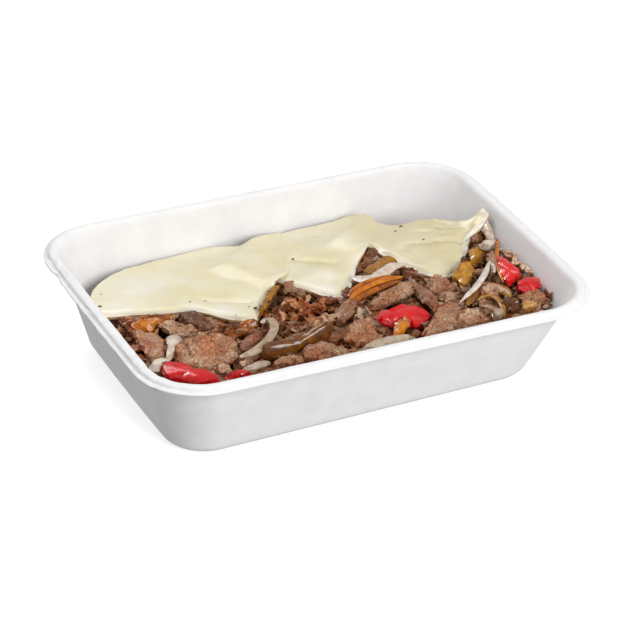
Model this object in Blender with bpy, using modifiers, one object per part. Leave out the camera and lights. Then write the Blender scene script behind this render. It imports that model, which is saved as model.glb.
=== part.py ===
"""Shaved beef with peppers, onions and three cheese slices, in a moulded fibre tray.

X runs along the tray, Y towards its back and Z up. The origin is on the table, under the middle.
Sizes below are in millimetres, and each mesh is made in metres.
"""
import math
import random

import bmesh
import bpy
from mathutils import Matrix, Vector
from mathutils.bvhtree import BVHTree

MM = 0.001
GAP = 0.3                   # clear space between two pieces that touch
CORE_GAP = 0.6              # the same where facets of two curved walls face each other

# The tray
TRAY_LENGTH = 230.0         # over the lip
TRAY_WIDTH = 172.8
TRAY_HEIGHT = 47.5          # to the crown of the rim, halfway along
RIM_WIDTH = 7.3             # from the lip's edge to the inner wall
RIM_DROP = 2.9              # the lip's edge lies this far below the crown
RIM_RADIUS = 31.4
RIM_CROWN = 4.4             # from the lip's edge to the crown
RIM_LEAN = -0.022           # the warped rim falls this much for each millimetre towards +X
END_BOW = 1.0               # the short sides stand out this much at their middle
NECK_LENGTH = 216.0         # the wall just under the rim, outside
NECK_WIDTH = 158.8
NECK_RADIUS = 26.5
BASE_LENGTH = 189.5
BASE_WIDTH = 132.4
BASE_RADIUS = 21.8
BASE_FILLET = 7.7
BASE_SHIFT = -3.7           # the base sits a little to the left of the rim
PULP = 0.95                 # thickness of the moulded fibre
NECK_HEIGHT = TRAY_HEIGHT - 0.8 * RIM_DROP
DRAFT = math.radians(18.9)  # the wall leans out this much
FOOT_HEIGHT = BASE_FILLET * (1 - math.sin(DRAFT))
FOOT_INSET = BASE_FILLET * (1 - math.cos(DRAFT))
FILLET_STEPS = 4
WALL_HEIGHTS = (20.0, 34.0, NECK_HEIGHT)
INNER_LIP = ((RIM_WIDTH, 0.9), (6.3, 0.2))   # from the lip's edge in, and below the crown
LIP_SHARES = (0, 0.3, 0.6, 0.82, 1)          # of the way from the crown to the lip's edge
CORNER_STEPS = 7
SIDE_STEPS = 4
END_STEPS = 2

# The heap
CREST = 32.6                # top of the cheese along the middle
CREST_Y = 28.0
BACK_FALL = 4.6             # lower by this much at the back wall
BACK_SPAN = 44.0
FRONT_FALL = 1.6            # and by this much at the front
FRONT_SPAN = 38.0
RIGHT_RISE = 3.2
RIGHT_RAMP = (66, 98)       # where in x the rise starts and ends
LEFT_FALL = 1.8
LEFT_RAMP = (-70, -98)
TIP_RISE = 8.0              # the right slice climbs the end wall
TIP_RAMP_X = (95, 104.5)
TIP_RAMP_Y = (6, 20)
CHEESE_THICK = 2.2
CHEESE_CELLS = 10
OVERLAP_RAMP = (-10, -3)    # how far outside the slice below one slice starts to lift over it
CORE_UNDER_CHEESE = CHEESE_THICK + 0.7
CORE_IN_OPEN = 4.7          # bare core below the level of the cheese, where beef shows
OPEN_RAMP = (-3, 4)         # from behind the cheese's front edge to before it
BUMP_RISE = 0.8             # uneven meat between the slices
BUMP_LONG = 17.0
BUMP_DEEP = 13.0
CORNER_FALL = 17.0          # the heap drops away behind the cheese in the back right corner
CORNER_RAMP = (-5, 13)
CORNER_FLOOR = 12.0         # but no lower than this
CORE_CELLS = (32, 20)
LOW_RINGS = ((0.75, 0.66), (1, 1))   # shares of the fillet's height and depth, for the core's foot
CORE_TRIES = 6              # the wall's width depends on the height that the core has there

# Where the front of the cheese runs, and so where the beef starts to show
CHEESE_FRONT = ((-110, 26), (-97, 24), (-70, 12), (-49, 0), (-35, -11), (-13, 16), (0, 2), (11, -8),
                (23, 4), (41, 27), (50, 7), (61, -9), (72, -9), (86, 6), (97, 14), (110, 20))

# Where the right slice ends, and so where the heap starts to drop in that corner
CHEESE_BACK = ((50, 78), (58, 57), (64, 49), (69, 45.5), (75.5, 45), (82, 42), (89, 37.5), (96, 33),
               (103.2, 28), (110, 24))

# Each slice by its four edges in plan: front from its left corner to its tip, right from the tip
# back, back from left to right, and left from the left corner back.
CHEESE = {
    "cheese_left": {
        "front": ((-99.5, 25), (-83, 17), (-70, 12.5), (-59, 9.5), (-49.5, 0), (-42, -6), (-35, -10.5)),
        "right": ((-35, -10.5), (-29, -3), (-22, 5), (-13.5, 15), (-3, 24), (5, 45), (14.5, 71)),
        "back": ((-71, 67.5), (-50, 69), (-26.5, 71), (-13, 65.5), (-2.5, 66.5), (14.5, 71)),
        "left": ((-99.5, 25), (-99.5, 38), (-95.5, 50), (-86, 60), (-71, 67.5)),
        "over": ((11, 69), (-26, 40), (-12.5, 19.5)),
    },
    "cheese_middle": {
        "front": ((-24, 38), (-12.5, 19.5), (-7, 10.5), (0, 2.5), (5, -3), (11.5, -8)),
        "right": ((11.5, -8), (15, -6), (22, 3), (27, 10.5), (33, 19), (41, 27), (50, 37), (60, 51)),
        "back": ((11, 69), (22, 69), (32, 67.5), (45, 70), (53, 70.5), (58, 63), (60, 51)),
        "left": ((-24, 38), (-13, 50), (-2, 60), (11, 69)),
        "over": ((58, 56), (36, 38), (44, 30)),
    },
    "cheese_right": {
        "front": ((36, 36), (43, 30), (46, 20.5), (50.5, 7.5), (55.5, -2.5), (61, -8), (68, -10)),
        "right": ((68, -10), (73, -7.5), (78.5, -2), (82.5, 1.5), (87, 7), (90.5, 14), (95, 17),
                  (99, 15), (103.2, 20)),
        "back": ((58, 56), (64, 49), (69, 45.5), (75.5, 45), (82, 42), (89, 37.5), (96, 33), (103.2, 28)),
        "left": ((36, 36), (44, 43), (58, 56)),
        "over": None,
    },
}

# Soft hills and dips pressed into the cheese: x, y, height, radius
CHEESE_HILLS = ((-84, 44, 1.2, 15), (-45, 48, 1.2, 18), (-38, 10, -0.8, 12), (24, 44, 1.8, 16),
                (8, 14, 0.9, 9), (34, 24, 0.9, 8), (58, 62, 1.3, 9), (62, 18, 1.0, 12), (78, 34, 1.0, 10),
                (-12, 52, -1.0, 10), (46, 50, -0.8, 9))

# Flat pieces of pepper and onion: outline at mid thickness as x, y, z, then thickness and crown
FLAT_PIECES = {
    "red_pepper_front": {
        "outline": ((-92.5, -30, 31.5), (-82, -34, 33), (-75, -41, 33), (-70.5, -47.5, 32), (-75, -53, 31),
                    (-83, -54, 30.5), (-90, -49, 30.5), (-94.5, -40, 31)),
        "thick": 3.6, "crown": 0.6, "kind": "red"},
    "red_pepper_small": {
        "outline": ((-69.5, -49.5, 31), (-63, -50.5, 31.5), (-55, -52, 31), (-58, -57, 30), (-66, -56, 30)),
        "thick": 3.0, "crown": 0.5, "kind": "red"},
    "red_pepper_middle": {
        "outline": ((17.5, -30.5, 32), (21, -26.5, 32.5), (26, -29, 33), (32, -27.5, 33),
                    (38, -32.5, 33), (41.5, -40, 32.5), (37, -47, 31.5), (32, -47.5, 31.5),
                    (25, -41.5, 32), (20.5, -39, 32)),
        "thick": 3.8, "crown": 1.2, "kind": "red"},
    "red_pepper_right": {
        "outline": ((91.5, -12, 36.5), (94, -20, 36.5), (95, -27, 35.5), (98, -34, 35),
                    (101, -38, 34), (98, -43, 33.5), (93, -41.5, 33.5), (89.5, -34, 33.5),
                    (88.5, -25, 34.5), (89, -17, 36)),
        "thick": 3.4, "crown": 0.9, "kind": "red"},
    "orange_pepper_left": {
        "outline": ((-92, 18, 30.2), (-84, 13.5, 30.4), (-75, 9, 31), (-74, 6, 31), (-79, 3, 31),
                    (-85, 1, 30), (-88, 6, 30.4), (-93, 10, 30)),
        "thick": 3.2, "crown": 0.6, "kind": "orange"},
    "olive_pepper_upper": {
        "outline": ((79, -9, 33), (83, -8, 33.6), (89.5, -3.5, 33.8), (91.5, 1.5, 34), (86, 1.5, 33.8),
                    (81, -3, 33.4)),
        "thick": 3.4, "crown": 1.2, "kind": "olive"},
    "olive_pepper_lower": {
        "outline": ((64.5, -21.5, 31.4), (71, -21.5, 31.8), (77, -15.5, 32.6), (77.5, -10.5, 32.8),
                    (72.5, -12, 32.4), (68, -15, 32)),
        "thick": 3.6, "crown": 1.2, "kind": "olive"},
    "brown_pepper_right": {
        "outline": ((75, -44.5, 32.6), (81, -46, 33), (84.5, -49, 32.4), (85, -55, 31.6), (78, -57, 30.6),
                    (72.5, -53.5, 30.6)),
        "thick": 3.0, "crown": 1.2, "kind": "brown"},
    "onion_flat_left": {
        "outline": ((-99, -29.5, 31.8), (-94.6, -27, 32.6), (-93.6, -28.6, 32.6), (-95.8, -33, 32),
                    (-98.8, -35, 31.4)),
        "thick": 2.2, "crown": 0.4, "kind": "onion"},
    "onion_right": {
        "outline": ((89.5, 4, 35.4), (92, 1.5, 35.6), (97.5, 1.5, 36), (99, 5, 36), (94, 6, 35.8)),
        "thick": 1.8, "crown": 0.4, "kind": "onion"},
}

FLAT_POINTS = 12
STRIP_SIDES = 7
STRIP_STEPS = 7

# Strips: route as x, y, z, then width, thickness, the share that tapers at each end, and roll
STRIPS = {
    "yellow_pepper_left": {"route": ((-56, -17, 30), (-46.5, -16.5, 31), (-36, -12.5, 31)),
                           "wide": 5.6, "thick": 3.0, "taper": 0.25, "roll": 25, "kind": "orange"},
    "orange_pepper_strip": {"route": ((13, -12.5, 31.4), (20, -11, 32), (30.5, -9.8, 32.4), (42, -8, 32)),
                            "wide": 4.6, "thick": 3.2, "taper": 0.3, "roll": 20, "kind": "orange"},
    "orange_pepper_bit": {"route": ((27.5, -42, 35.4), (26.5, -46, 34.6), (22, -49.5, 33.4)),
                          "wide": 3.6, "thick": 1.8, "taper": 0.3, "roll": 0, "kind": "orange"},
    "orange_pepper_wall": {"route": ((98.5, 8.5, 39.5), (98, 1.5, 39), (96, -7, 38.6)),
                           "wide": 1.8, "thick": 2.6, "taper": 0.25, "roll": 0, "kind": "orange"},
    "brown_pepper_long": {"route": ((-46, -38.5, 31.4), (-38, -38, 32.6), (-27.5, -37, 33.4),
                                    (-16, -33.5, 33.4), (-4, -27, 32.4)),
                          "wide": 6.2, "thick": 3.4, "taper": 0.3, "roll": 30, "kind": "brown"},
    "brown_pepper_gap": {"route": ((-29, -8, 29.2), (-24, -2, 29.4), (-19, 3.5, 29)),
                         "wide": 4.6, "thick": 2.0, "taper": 0.3, "roll": 15, "kind": "brown"},
    "brown_pepper_glossy": {"route": ((28, 3, 31), (36, 6, 32), (46, 8.8, 32.2)),
                            "wide": 4.4, "thick": 3.0, "taper": 0.3, "roll": 20, "kind": "brown"},
    "brown_pepper_arc": {"route": ((60, -45.5, 31), (67, -41.5, 32.4), (74.5, -40.5, 33.2), (82, -39, 33.4),
                                   (88, -36.5, 32.6)),
                         "wide": 3.6, "thick": 2.6, "taper": 0.3, "roll": 20, "kind": "brown"},
    "onion_tall": {"route": ((-91, -30, 35), (-86, -22.5, 36), (-80, -15.5, 36.2), (-75, -11.5, 35.4)),
                   "wide": 3.6, "thick": 1.8, "taper": 0.25, "roll": 10, "kind": "onion"},
    "onion_hook": {"route": ((-57, -38.5, 32.4), (-49.5, -36.5, 33.6), (-39.5, -30.5, 34.4), (-32, -22, 34),
                             (-28, -14, 33), (-31, -9, 32)),
                   "wide": 2.8, "thick": 2.4, "taper": 0.25, "roll": 0, "kind": "onion"},
    "onion_front": {"route": ((-64, -48.5, 32.6), (-54.5, -47.5, 33), (-45, -45, 32.6)),
                    "wide": 3.6, "thick": 1.8, "taper": 0.35, "roll": 10, "kind": "onion"},
    "onion_rim": {"route": ((-9, -56.5, 31), (1, -55, 32), (12.5, -54.5, 32.4), (24, -55.5, 31.6)),
                  "wide": 3.4, "thick": 1.8, "taper": 0.4, "roll": 10, "kind": "onion"},
    "onion_arc": {"route": ((59.5, -35, 33.4), (67.5, -34, 35), (77, -27.5, 36.2), (85, -17.5, 37)),
                  "wide": 2.8, "thick": 2.2, "taper": 0.35, "roll": 0, "kind": "onion"},
    "onion_wedge": {"route": ((23, -2, 31.2), (28, -4.6, 31.6), (37, -3.4, 32), (46.5, 2.4, 32)),
                    "wide": 4.4, "thick": 1.8, "taper": 0.2, "roll": 10, "kind": "onion"},
    "onion_wall": {"route": ((100, 15, 38.4), (98.8, 10.5, 37.6), (96.5, 7.8, 37)),
                   "wide": 2.6, "thick": 1.6, "taper": 0.3, "roll": 0, "kind": "onion"},
}

# The larger beef slices that show: the height of their top, then their outline in plan
BEEF_SLICES = (
    (34.5, ((-93, 4), (-86, -1), (-82, -8), (-86, -21), (-92, -27), (-96, -20), (-96, -8))),
    (34.5, ((-80, 3), (-73, 3), (-66, -3), (-66, -9), (-72, -15), (-79, -7))),
    (35.5, ((-81, -20), (-71, -15), (-57, -17), (-54, -25), (-58, -39), (-72, -46), (-83, -40),
            (-86, -32))),
    (32.0, ((-68, 10), (-60, 11), (-56, 4), (-56, -8), (-63, -8))),
    (32.0, ((-53, -31), (-46, -23), (-38, -21), (-41, -28), (-50, -34))),
    (33.5, ((-46, -51), (-38, -46), (-29, -50), (-35, -57), (-45, -57))),
    (34.0, ((-28, -46), (-19, -42), (-10, -50), (-8, -58), (-20, -60), (-29, -56))),
    (35.0, ((-4, -46), (3, -33), (12, -33), (14, -40), (10, -50), (-1, -52))),
    (33.5, ((0, -24), (9, -14), (15, -14), (12, -23), (3, -30))),
    (35.5, ((28, -59), (38, -50), (46, -40), (53, -35), (57, -42), (52, -54), (42, -62), (31, -63))),
    (34.5, ((56, -48), (62, -47), (65, -53), (63, -60), (55, -62), (50, -60))),
    (35.5, ((43, -12), (49, -17), (50, -28), (48, -38), (43, -40), (43, -26))),
    (35.0, ((18, -20), (30, -15), (41, -13), (43, -20), (37, -24), (24, -27))),
    (33.5, ((53, -13), (60, -12), (64, -16), (62, -24), (53, -24))),
    (31.0, ((34, 17), (40, 30), (46, 29), (46, 20), (42, 14))),
    (35.5, ((86, -6), (88, -14), (86, -24), (83, -32), (80, -22), (82, -12))),
    (36.0, ((98, -8), (101, -14), (101, -26), (98, -26), (97, -18))),
    (35.0, ((88, -46), (96, -45), (99, -50), (95, -58), (88, -59))),
    (34.5, ((70, -33), (78, -32), (81, -36), (74, -38))),
    (34.0, ((-70, -51), (-60, -59), (-75, -62), (-88, -58), (-84, -56))),
    (33.5, ((2, -59), (24, -59), (30, -66), (10, -69), (-4, -65))),
    (34.0, ((68, -58), (88, -61), (86, -67), (70, -67))),
    (34.0, ((-58, -60), (-34, -60), (-36, -68), (-60, -67))),
)

# A slice's rings: their share of its outline, then their lift from its top, or None for the root
SLICE_RINGS = ((0.72, None), (1.0, -2.6), (0.86, -0.5), (0.45, 0.2))
SLICE_ROOT = 1.6            # the root lies this far inside the core
SLICE_CROWN = 0.3
SLICE_WAVE = 0.5
SLICE_POINTS = 12

# How a slice is lowered and then shrunk, step by step, until it clears its neighbours
SLICE_FITS = ((0, 1), (0, 0.88), (1.5, 0.88), (1.5, 0.72), (3, 0.72), (3, 0.55))

# Torn bits of beef, tried at random places: how many, where in x and y, their size and their rise
CRUMBS = ((34, (-27, 9), (-26, 14), (2.8, 4.6), (1.0, 3.4)),
          (40, (-97, 99), (-66, 20), (4.2, 6.6), (0.2, 2.2)))
CRUMB_LONG = 1.25
CRUMB_NARROW = 0.85
CRUMB_HIDDEN = 3.0          # none starts nearer to the cheese's front edge than this
BEEF_SEED = 11
BEEF_CLEAR = 0.36           # between the beef and its neighbours

SMOOTH_ANGLE = math.radians(50)
MERGE = 0.00002             # metres

COLOURS = {
    "fibre": ("#F1EFEC", 0.78),
    "beef": ("#8E6A5A", 0.55),
    "cheese": ("#EDE6C3", 0.38),
    "red": ("#C4141C", 0.25),
    "orange": ("#C8761E", 0.25),
    "olive": ("#A27B33", 0.3),
    "brown": ("#6E4A1D", 0.22),
    "onion": ("#D9CFC2", 0.3),
}


def smoothstep(low, high, value):
    """0 at low, 1 at high, and soft at both ends; low may be the larger."""
    share = min(1.0, max(0.0, (value - low) / (high - low)))
    return share * share * (3 - 2 * share)


def along(points, share):
    """The place at this share of the way along an open curve through the points, in any dimension."""
    spans = len(points) - 1
    step = min(int(share * spans), spans - 1)
    part = share * spans - step
    before = points[max(step - 1, 0)]
    start, end = points[step], points[step + 1]
    after = points[min(step + 2, spans)]
    result = []
    for b, s, e, a in zip(before, start, end, after):
        result.append(0.5 * (2 * s + (e - b) * part + (2 * b - 5 * s + 4 * e - a) * part ** 2
                             + (3 * s - b - 3 * e + a) * part ** 3))
    return tuple(result)


def closed_curve(points, count):
    """Evenly numbered places on a closed smooth curve through the points."""
    spans = len(points)
    result = []
    for number in range(count):
        place = number * spans / count
        step = int(place)
        four = [points[(step + offset) % spans] for offset in (-1, 0, 1, 2)]
        local = along(four, (1 + place - step) / 3)
        result.append(local)
    return result


def line_at(line, x):
    """Where a line through plan points lies at this x."""
    for (x0, y0), (x1, y1) in zip(line, line[1:]):
        if x <= x1:
            return y0 + (y1 - y0) * max(0.0, x - x0) / (x1 - x0)
    return line[-1][1]


def heap_level(x, y):
    """Height of the cheese's top over the heap, before its hills."""
    if y > CREST_Y:
        level = CREST - BACK_FALL * ((y - CREST_Y) / BACK_SPAN) ** 2
    else:
        level = CREST - FRONT_FALL * min(1.0, ((CREST_Y - y) / FRONT_SPAN) ** 2)
    return level + RIGHT_RISE * smoothstep(*RIGHT_RAMP, x) - LEFT_FALL * smoothstep(*LEFT_RAMP, x)


def cheese_hills(x, y):
    """Height of the soft hills and dips at this place."""
    return sum(height * math.exp(-((x - hill_x) ** 2 + (y - hill_y) ** 2) / radius ** 2)
               for hill_x, hill_y, height, radius in CHEESE_HILLS)


def core_level(x, y):
    """Height of the bare core, which is lower where beef shows and in the back right corner."""
    in_open = smoothstep(*OPEN_RAMP, line_at(CHEESE_FRONT, x) - y)
    corner = CORNER_FALL * smoothstep(*CORNER_RAMP, y - line_at(CHEESE_BACK, x))
    bumps = math.sin(2 * math.pi * x / BUMP_LONG + y / 4) * math.sin(2 * math.pi * y / BUMP_DEEP)
    level = heap_level(x, y) + cheese_hills(x, y) * (1 - in_open) + BUMP_RISE * bumps * in_open - corner
    return max(level - CORE_UNDER_CHEESE - (CORE_IN_OPEN - CORE_UNDER_CHEESE) * in_open, CORNER_FLOOR)


def inside_of(wedge, x, y):
    """How far a place lies inside the corner of the slice below, negative outside.

    The wedge is the back end of one edge, the corner, and the front end of the other edge.
    """
    distances = []
    for (x0, y0), (x1, y1) in zip(wedge, wedge[1:]):
        dx, dy = x1 - x0, y1 - y0
        distances.append((dx * (y - y0) - dy * (x - x0)) / math.hypot(dx, dy))
    return min(distances)


def slice_height(slice_shape, x, y):
    """Height of a slice's middle surface: on the heap, and up over the slice that it overlaps."""
    tip = TIP_RISE * smoothstep(*TIP_RAMP_X, x) * smoothstep(*TIP_RAMP_Y, y)
    height = heap_level(x, y) + cheese_hills(x, y) + tip - CHEESE_THICK / 2
    if slice_shape["over"]:
        height += (CHEESE_THICK + 3 * GAP) * smoothstep(*OVERLAP_RAMP, inside_of(slice_shape["over"], x, y))
    return height


def linear(code):
    """An sRGB hex colour as linear values."""
    values = [int(code[start:start + 2], 16) / 255 for start in (1, 3, 5)]
    return [v / 12.92 if v <= 0.04045 else ((v + 0.055) / 1.055) ** 2.4 for v in values]


def material(kind):
    """One Principled material for each kind of food and for the fibre."""
    found = bpy.data.materials.get(kind)
    if found:
        return found
    code, roughness = COLOURS[kind]
    made = bpy.data.materials.new(kind)
    made.use_nodes = True
    shader = made.node_tree.nodes["Principled BSDF"]
    shader.inputs["Base Color"].default_value = (*linear(code), 1)
    shader.inputs["Roughness"].default_value = roughness
    shader.inputs["Metallic"].default_value = 0.0
    return made


def add_object(name, points, faces, kind, collection):
    """An object from points in millimetres, with its origin at their middle and its faces turned out."""
    middle = Vector([sum(p[axis] for p in points) / len(points) for axis in range(3)])
    mesh = bpy.data.meshes.new(name)
    mesh.from_pydata([(Vector(p) - middle) * MM for p in points], [], faces)
    shape = bmesh.new()
    shape.from_mesh(mesh)
    bmesh.ops.recalc_face_normals(shape, faces=shape.faces)
    shape.to_mesh(mesh)
    shape.free()
    mesh.shade_smooth()
    mesh.set_sharp_from_angle(angle=SMOOTH_ANGLE)
    mesh.materials.append(material(kind))
    made = bpy.data.objects.new(name, mesh)
    made.location = middle * MM
    collection.objects.link(made)
    return made


def band(start, next_start, count):
    """Faces between two closed rings of points with the same count."""
    return [(start + i, start + (i + 1) % count, next_start + (i + 1) % count, next_start + i)
            for i in range(count)]


def tray_ring(length, width, radius, height, shift, lean):
    """Points of a rounded rectangle whose ends bow out a little and whose height leans along X."""
    corners = ((1, 1, 0), (-1, 1, 90), (-1, -1, 180), (1, -1, 270))
    outline = []
    for number, (side_x, side_y, start) in enumerate(corners):
        centre = (side_x * (length / 2 - radius), side_y * (width / 2 - radius))
        for step in range(CORNER_STEPS):
            angle = math.radians(start + 90 * step / (CORNER_STEPS - 1))
            outline.append((centre[0] + radius * math.cos(angle), centre[1] + radius * math.sin(angle)))
        next_x, next_y, next_start = corners[(number + 1) % 4]
        angle = math.radians(next_start)
        target = (next_x * (length / 2 - radius) + radius * math.cos(angle),
                  next_y * (width / 2 - radius) + radius * math.sin(angle))
        here_x, here_y = outline[-1]
        steps = SIDE_STEPS if number % 2 == 0 else END_STEPS
        for step in range(1, steps):
            share = step / steps
            outline.append((here_x + (target[0] - here_x) * share, here_y + (target[1] - here_y) * share))
    ring = []
    for x, y in outline:
        bow = END_BOW * max(0.0, 1 - (2 * y / width) ** 2) * smoothstep(0.8, 1.0, abs(2 * x / length))
        x += math.copysign(bow, x) + shift
        ring.append((x, y, height + lean * x))
    return ring


def base_span(inset):
    """Length, width, corner radius and shift of the base's outline, moved in by the inset."""
    return BASE_LENGTH - 2 * inset, BASE_WIDTH - 2 * inset, BASE_RADIUS - inset, BASE_SHIFT


def wall_span(height, inset):
    """The same for the wall at a height, from the top of the fillet to the neck."""
    share = (height - FOOT_HEIGHT) / (NECK_HEIGHT - FOOT_HEIGHT)
    foot = base_span(FOOT_INSET)
    neck = (NECK_LENGTH, NECK_WIDTH, NECK_RADIUS, 0)
    length, width, radius, shift = [low + (high - low) * share for low, high in zip(foot, neck)]
    return length - 2 * inset, width - 2 * inset, radius - inset, shift


def tray_profile():
    """Rings of the tray's inner skin, from the floor up the wall and out over the rim to the lip."""
    rings = []
    inner = BASE_FILLET - PULP
    for step in range(FILLET_STEPS + 1):
        angle = (math.pi / 2 - DRAFT) * step / FILLET_STEPS
        length, width, radius, shift = base_span(BASE_FILLET - inner * math.sin(angle))
        rings.append(tray_ring(length, width, radius, BASE_FILLET - inner * math.cos(angle), shift, 0))
    for height in WALL_HEIGHTS:
        length, width, radius, shift = wall_span(height, PULP / math.cos(DRAFT))
        rings.append(tray_ring(length, width, radius, height, shift, RIM_LEAN * height / NECK_HEIGHT))
    for inset, drop in INNER_LIP:
        rings.append(tray_ring(TRAY_LENGTH - 2 * inset, TRAY_WIDTH - 2 * inset, RIM_RADIUS - inset,
                               TRAY_HEIGHT - drop, 0, RIM_LEAN))
    for share in LIP_SHARES:
        inset = RIM_CROWN * (1 - share)
        rings.append(tray_ring(TRAY_LENGTH - 2 * inset, TRAY_WIDTH - 2 * inset, RIM_RADIUS - inset,
                               TRAY_HEIGHT - RIM_DROP * share ** 2, 0, RIM_LEAN))
    return rings


def make_tray(collection):
    """The tray: an open skin of rings, thickened outwards and down."""
    rings = tray_profile()
    count = len(rings[0])
    points = [p for ring in rings for p in ring]
    faces = [tuple(range(count))]
    for number in range(len(rings) - 1):
        faces += [face[::-1] for face in band(number * count, (number + 1) * count, count)]
    mesh = bpy.data.meshes.new("tray")
    mesh.from_pydata([Vector(p) * MM for p in points], [], faces)
    mesh.shade_smooth()
    mesh.set_sharp_from_angle(angle=SMOOTH_ANGLE)
    mesh.materials.append(material("fibre"))
    tray = bpy.data.objects.new("tray", mesh)
    collection.objects.link(tray)
    shell = tray.modifiers.new("pulp", "SOLIDIFY")
    shell.thickness = PULP * MM
    shell.offset = -1
    shell.use_even_offset = True
    return tray


def core_place(u, v, length, width, radius, shift):
    """A square grid's place, from -1 to 1 each way, on a rectangle whose corners are rounded."""
    x, y = u * length / 2, v * width / 2
    over_x, over_y = abs(x) - (length / 2 - radius), abs(y) - (width / 2 - radius)
    if over_x > 0 and over_y > 0:
        pull = max(over_x, over_y) / math.hypot(over_x, over_y)
        x = math.copysign(length / 2 - radius + over_x * pull, x)
        y = math.copysign(width / 2 - radius + over_y * pull, y)
    return x + shift, y


def make_core(collection):
    """The bare heap: it fills the tray up to its uneven top, a small gap off the wall."""
    across, deep = CORE_CELLS
    edge = [(i, 0) for i in range(across)]
    edge += [(across, j) for j in range(deep)]
    edge += [(i, deep) for i in range(across, 0, -1)]
    edge += [(0, j) for j in range(deep, 0, -1)]
    clear = PULP / math.cos(DRAFT) + CORE_GAP

    def place(i, j, span):
        return core_place(2 * i / across - 1, 2 * j / deep - 1, *span)

    points = []
    for j in range(deep + 1):
        for i in range(across + 1):
            height = CREST
            for _ in range(CORE_TRIES):
                x, y = place(i, j, wall_span(height, clear))
                height = core_level(x, y)
            points.append((x, y, height))
    faces = []
    for j in range(deep):
        for i in range(across):
            low = j * (across + 1) + i
            faces.append((low, low + 1, low + across + 2, low + across + 1))
    inner = BASE_FILLET - PULP - GAP
    rings = [(BASE_FILLET + 1, wall_span(BASE_FILLET + 1, clear))]
    rings += [(BASE_FILLET - inner * depth, base_span(BASE_FILLET * inset)) for depth, inset in LOW_RINGS]
    upper = [j * (across + 1) + i for i, j in edge]
    for height, span in rings:
        start = len(points)
        points += [(*place(i, j, span), height) for i, j in edge]
        lower = list(range(start, len(points)))
        for n in range(len(edge)):
            following = (n + 1) % len(edge)
            faces.append((upper[n], lower[n], lower[following], upper[following]))
        upper = lower
    faces.append(tuple(upper))
    return add_object("beef_heap", points, faces, "beef", collection)


def make_cheese(name, slice_shape, collection):
    """A slice: its four edges carry a surface between them, which lies on the heap."""
    cells = CHEESE_CELLS
    left_corner, tip = slice_shape["front"][0], slice_shape["front"][-1]
    back_left, back_right = slice_shape["back"][0], slice_shape["back"][-1]
    middle = []
    for j in range(cells + 1):
        v = j / cells
        left, right = along(slice_shape["left"], v), along(slice_shape["right"], v)
        for i in range(cells + 1):
            u = i / cells
            front, back = along(slice_shape["front"], u), along(slice_shape["back"], u)
            place = [(1 - v) * front[axis] + v * back[axis] + (1 - u) * left[axis] + u * right[axis]
                     - (1 - u) * (1 - v) * left_corner[axis] - u * (1 - v) * tip[axis]
                     - (1 - u) * v * back_left[axis] - u * v * back_right[axis] for axis in (0, 1)]
            middle.append((*place, slice_height(slice_shape, *place)))
    mesh = bpy.data.meshes.new(name)
    origin = Vector(middle[len(middle) // 2])
    faces = []
    for j in range(cells):
        for i in range(cells):
            low = j * (cells + 1) + i
            faces.append((low, low + 1, low + cells + 2, low + cells + 1))
    mesh.from_pydata([(Vector(p) - origin) * MM for p in middle], [], faces)
    mesh.shade_smooth()
    mesh.materials.append(material("cheese"))
    made = bpy.data.objects.new(name, mesh)
    made.location = origin * MM
    collection.objects.link(made)
    shell = made.modifiers.new("slice", "SOLIDIFY")
    shell.thickness = CHEESE_THICK * MM
    shell.offset = 0
    return made


def make_flat_piece(name, piece, collection):
    """A flat piece: an edge line, then two rings and a middle point above it and below it."""
    outline = closed_curve(piece["outline"], FLAT_POINTS)
    count = len(outline)
    middle = [sum(p[axis] for p in outline) / count for axis in range(3)]
    half, crown = piece["thick"] / 2, piece["crown"]

    def ring(share, lift):
        bulge = crown * (1 - share ** 2)
        return [(middle[0] + (x - middle[0]) * share, middle[1] + (y - middle[1]) * share,
                 middle[2] + (z - middle[2]) * share + lift + bulge) for x, y, z in outline]

    points = ring(1, 0)
    faces = []
    for side in (1, -1):
        start = 0
        for share, lift in ((0.88, 0.86 * half), (0.5, half)):
            ring_start = len(points)
            points += ring(share, side * lift)
            faces += band(start, ring_start, count)
            start = ring_start
        points.append((middle[0], middle[1], middle[2] + side * half + crown))
        faces += [(start + i, start + (i + 1) % count, len(points) - 1) for i in range(count)]
    return add_object(name, points, faces, piece["kind"], collection)


def make_strip(name, strip, collection):
    """A strip: an oval section along a smooth route, drawn in towards both ends."""
    sides, steps = STRIP_SIDES, STRIP_STEPS
    roll = math.radians(strip["roll"])
    points = []
    for step in range(steps + 1):
        share = 0.5 - 0.5 * math.cos(math.pi * step / steps)
        here, before, after = [Vector(along(strip["route"], min(1, max(0, share + shift))))
                               for shift in (0, -0.02, 0.02)]
        ahead = (after - before).normalized()
        side = ahead.cross(Vector((0, 0, 1))).normalized()
        top = side.cross(ahead)
        turn = Matrix.Rotation(-roll, 3, ahead)
        side, top = turn @ side, turn @ top
        near_end = min(share, 1 - share) / strip["taper"]
        size = 0.3 + 0.7 * math.sin(min(1.0, near_end) * math.pi / 2)
        for number in range(sides):
            angle = 2 * math.pi * number / sides
            points.append(tuple(here + side * (strip["wide"] / 2 * size * math.cos(angle))
                                + top * (strip["thick"] / 2 * size * math.sin(angle))))
    faces = [tuple(range(sides)), tuple(range(steps * sides, (steps + 1) * sides))]
    for step in range(steps):
        faces += band(step * sides, (step + 1) * sides, sides)
    return add_object(name, points, faces, strip["kind"], collection)


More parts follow.
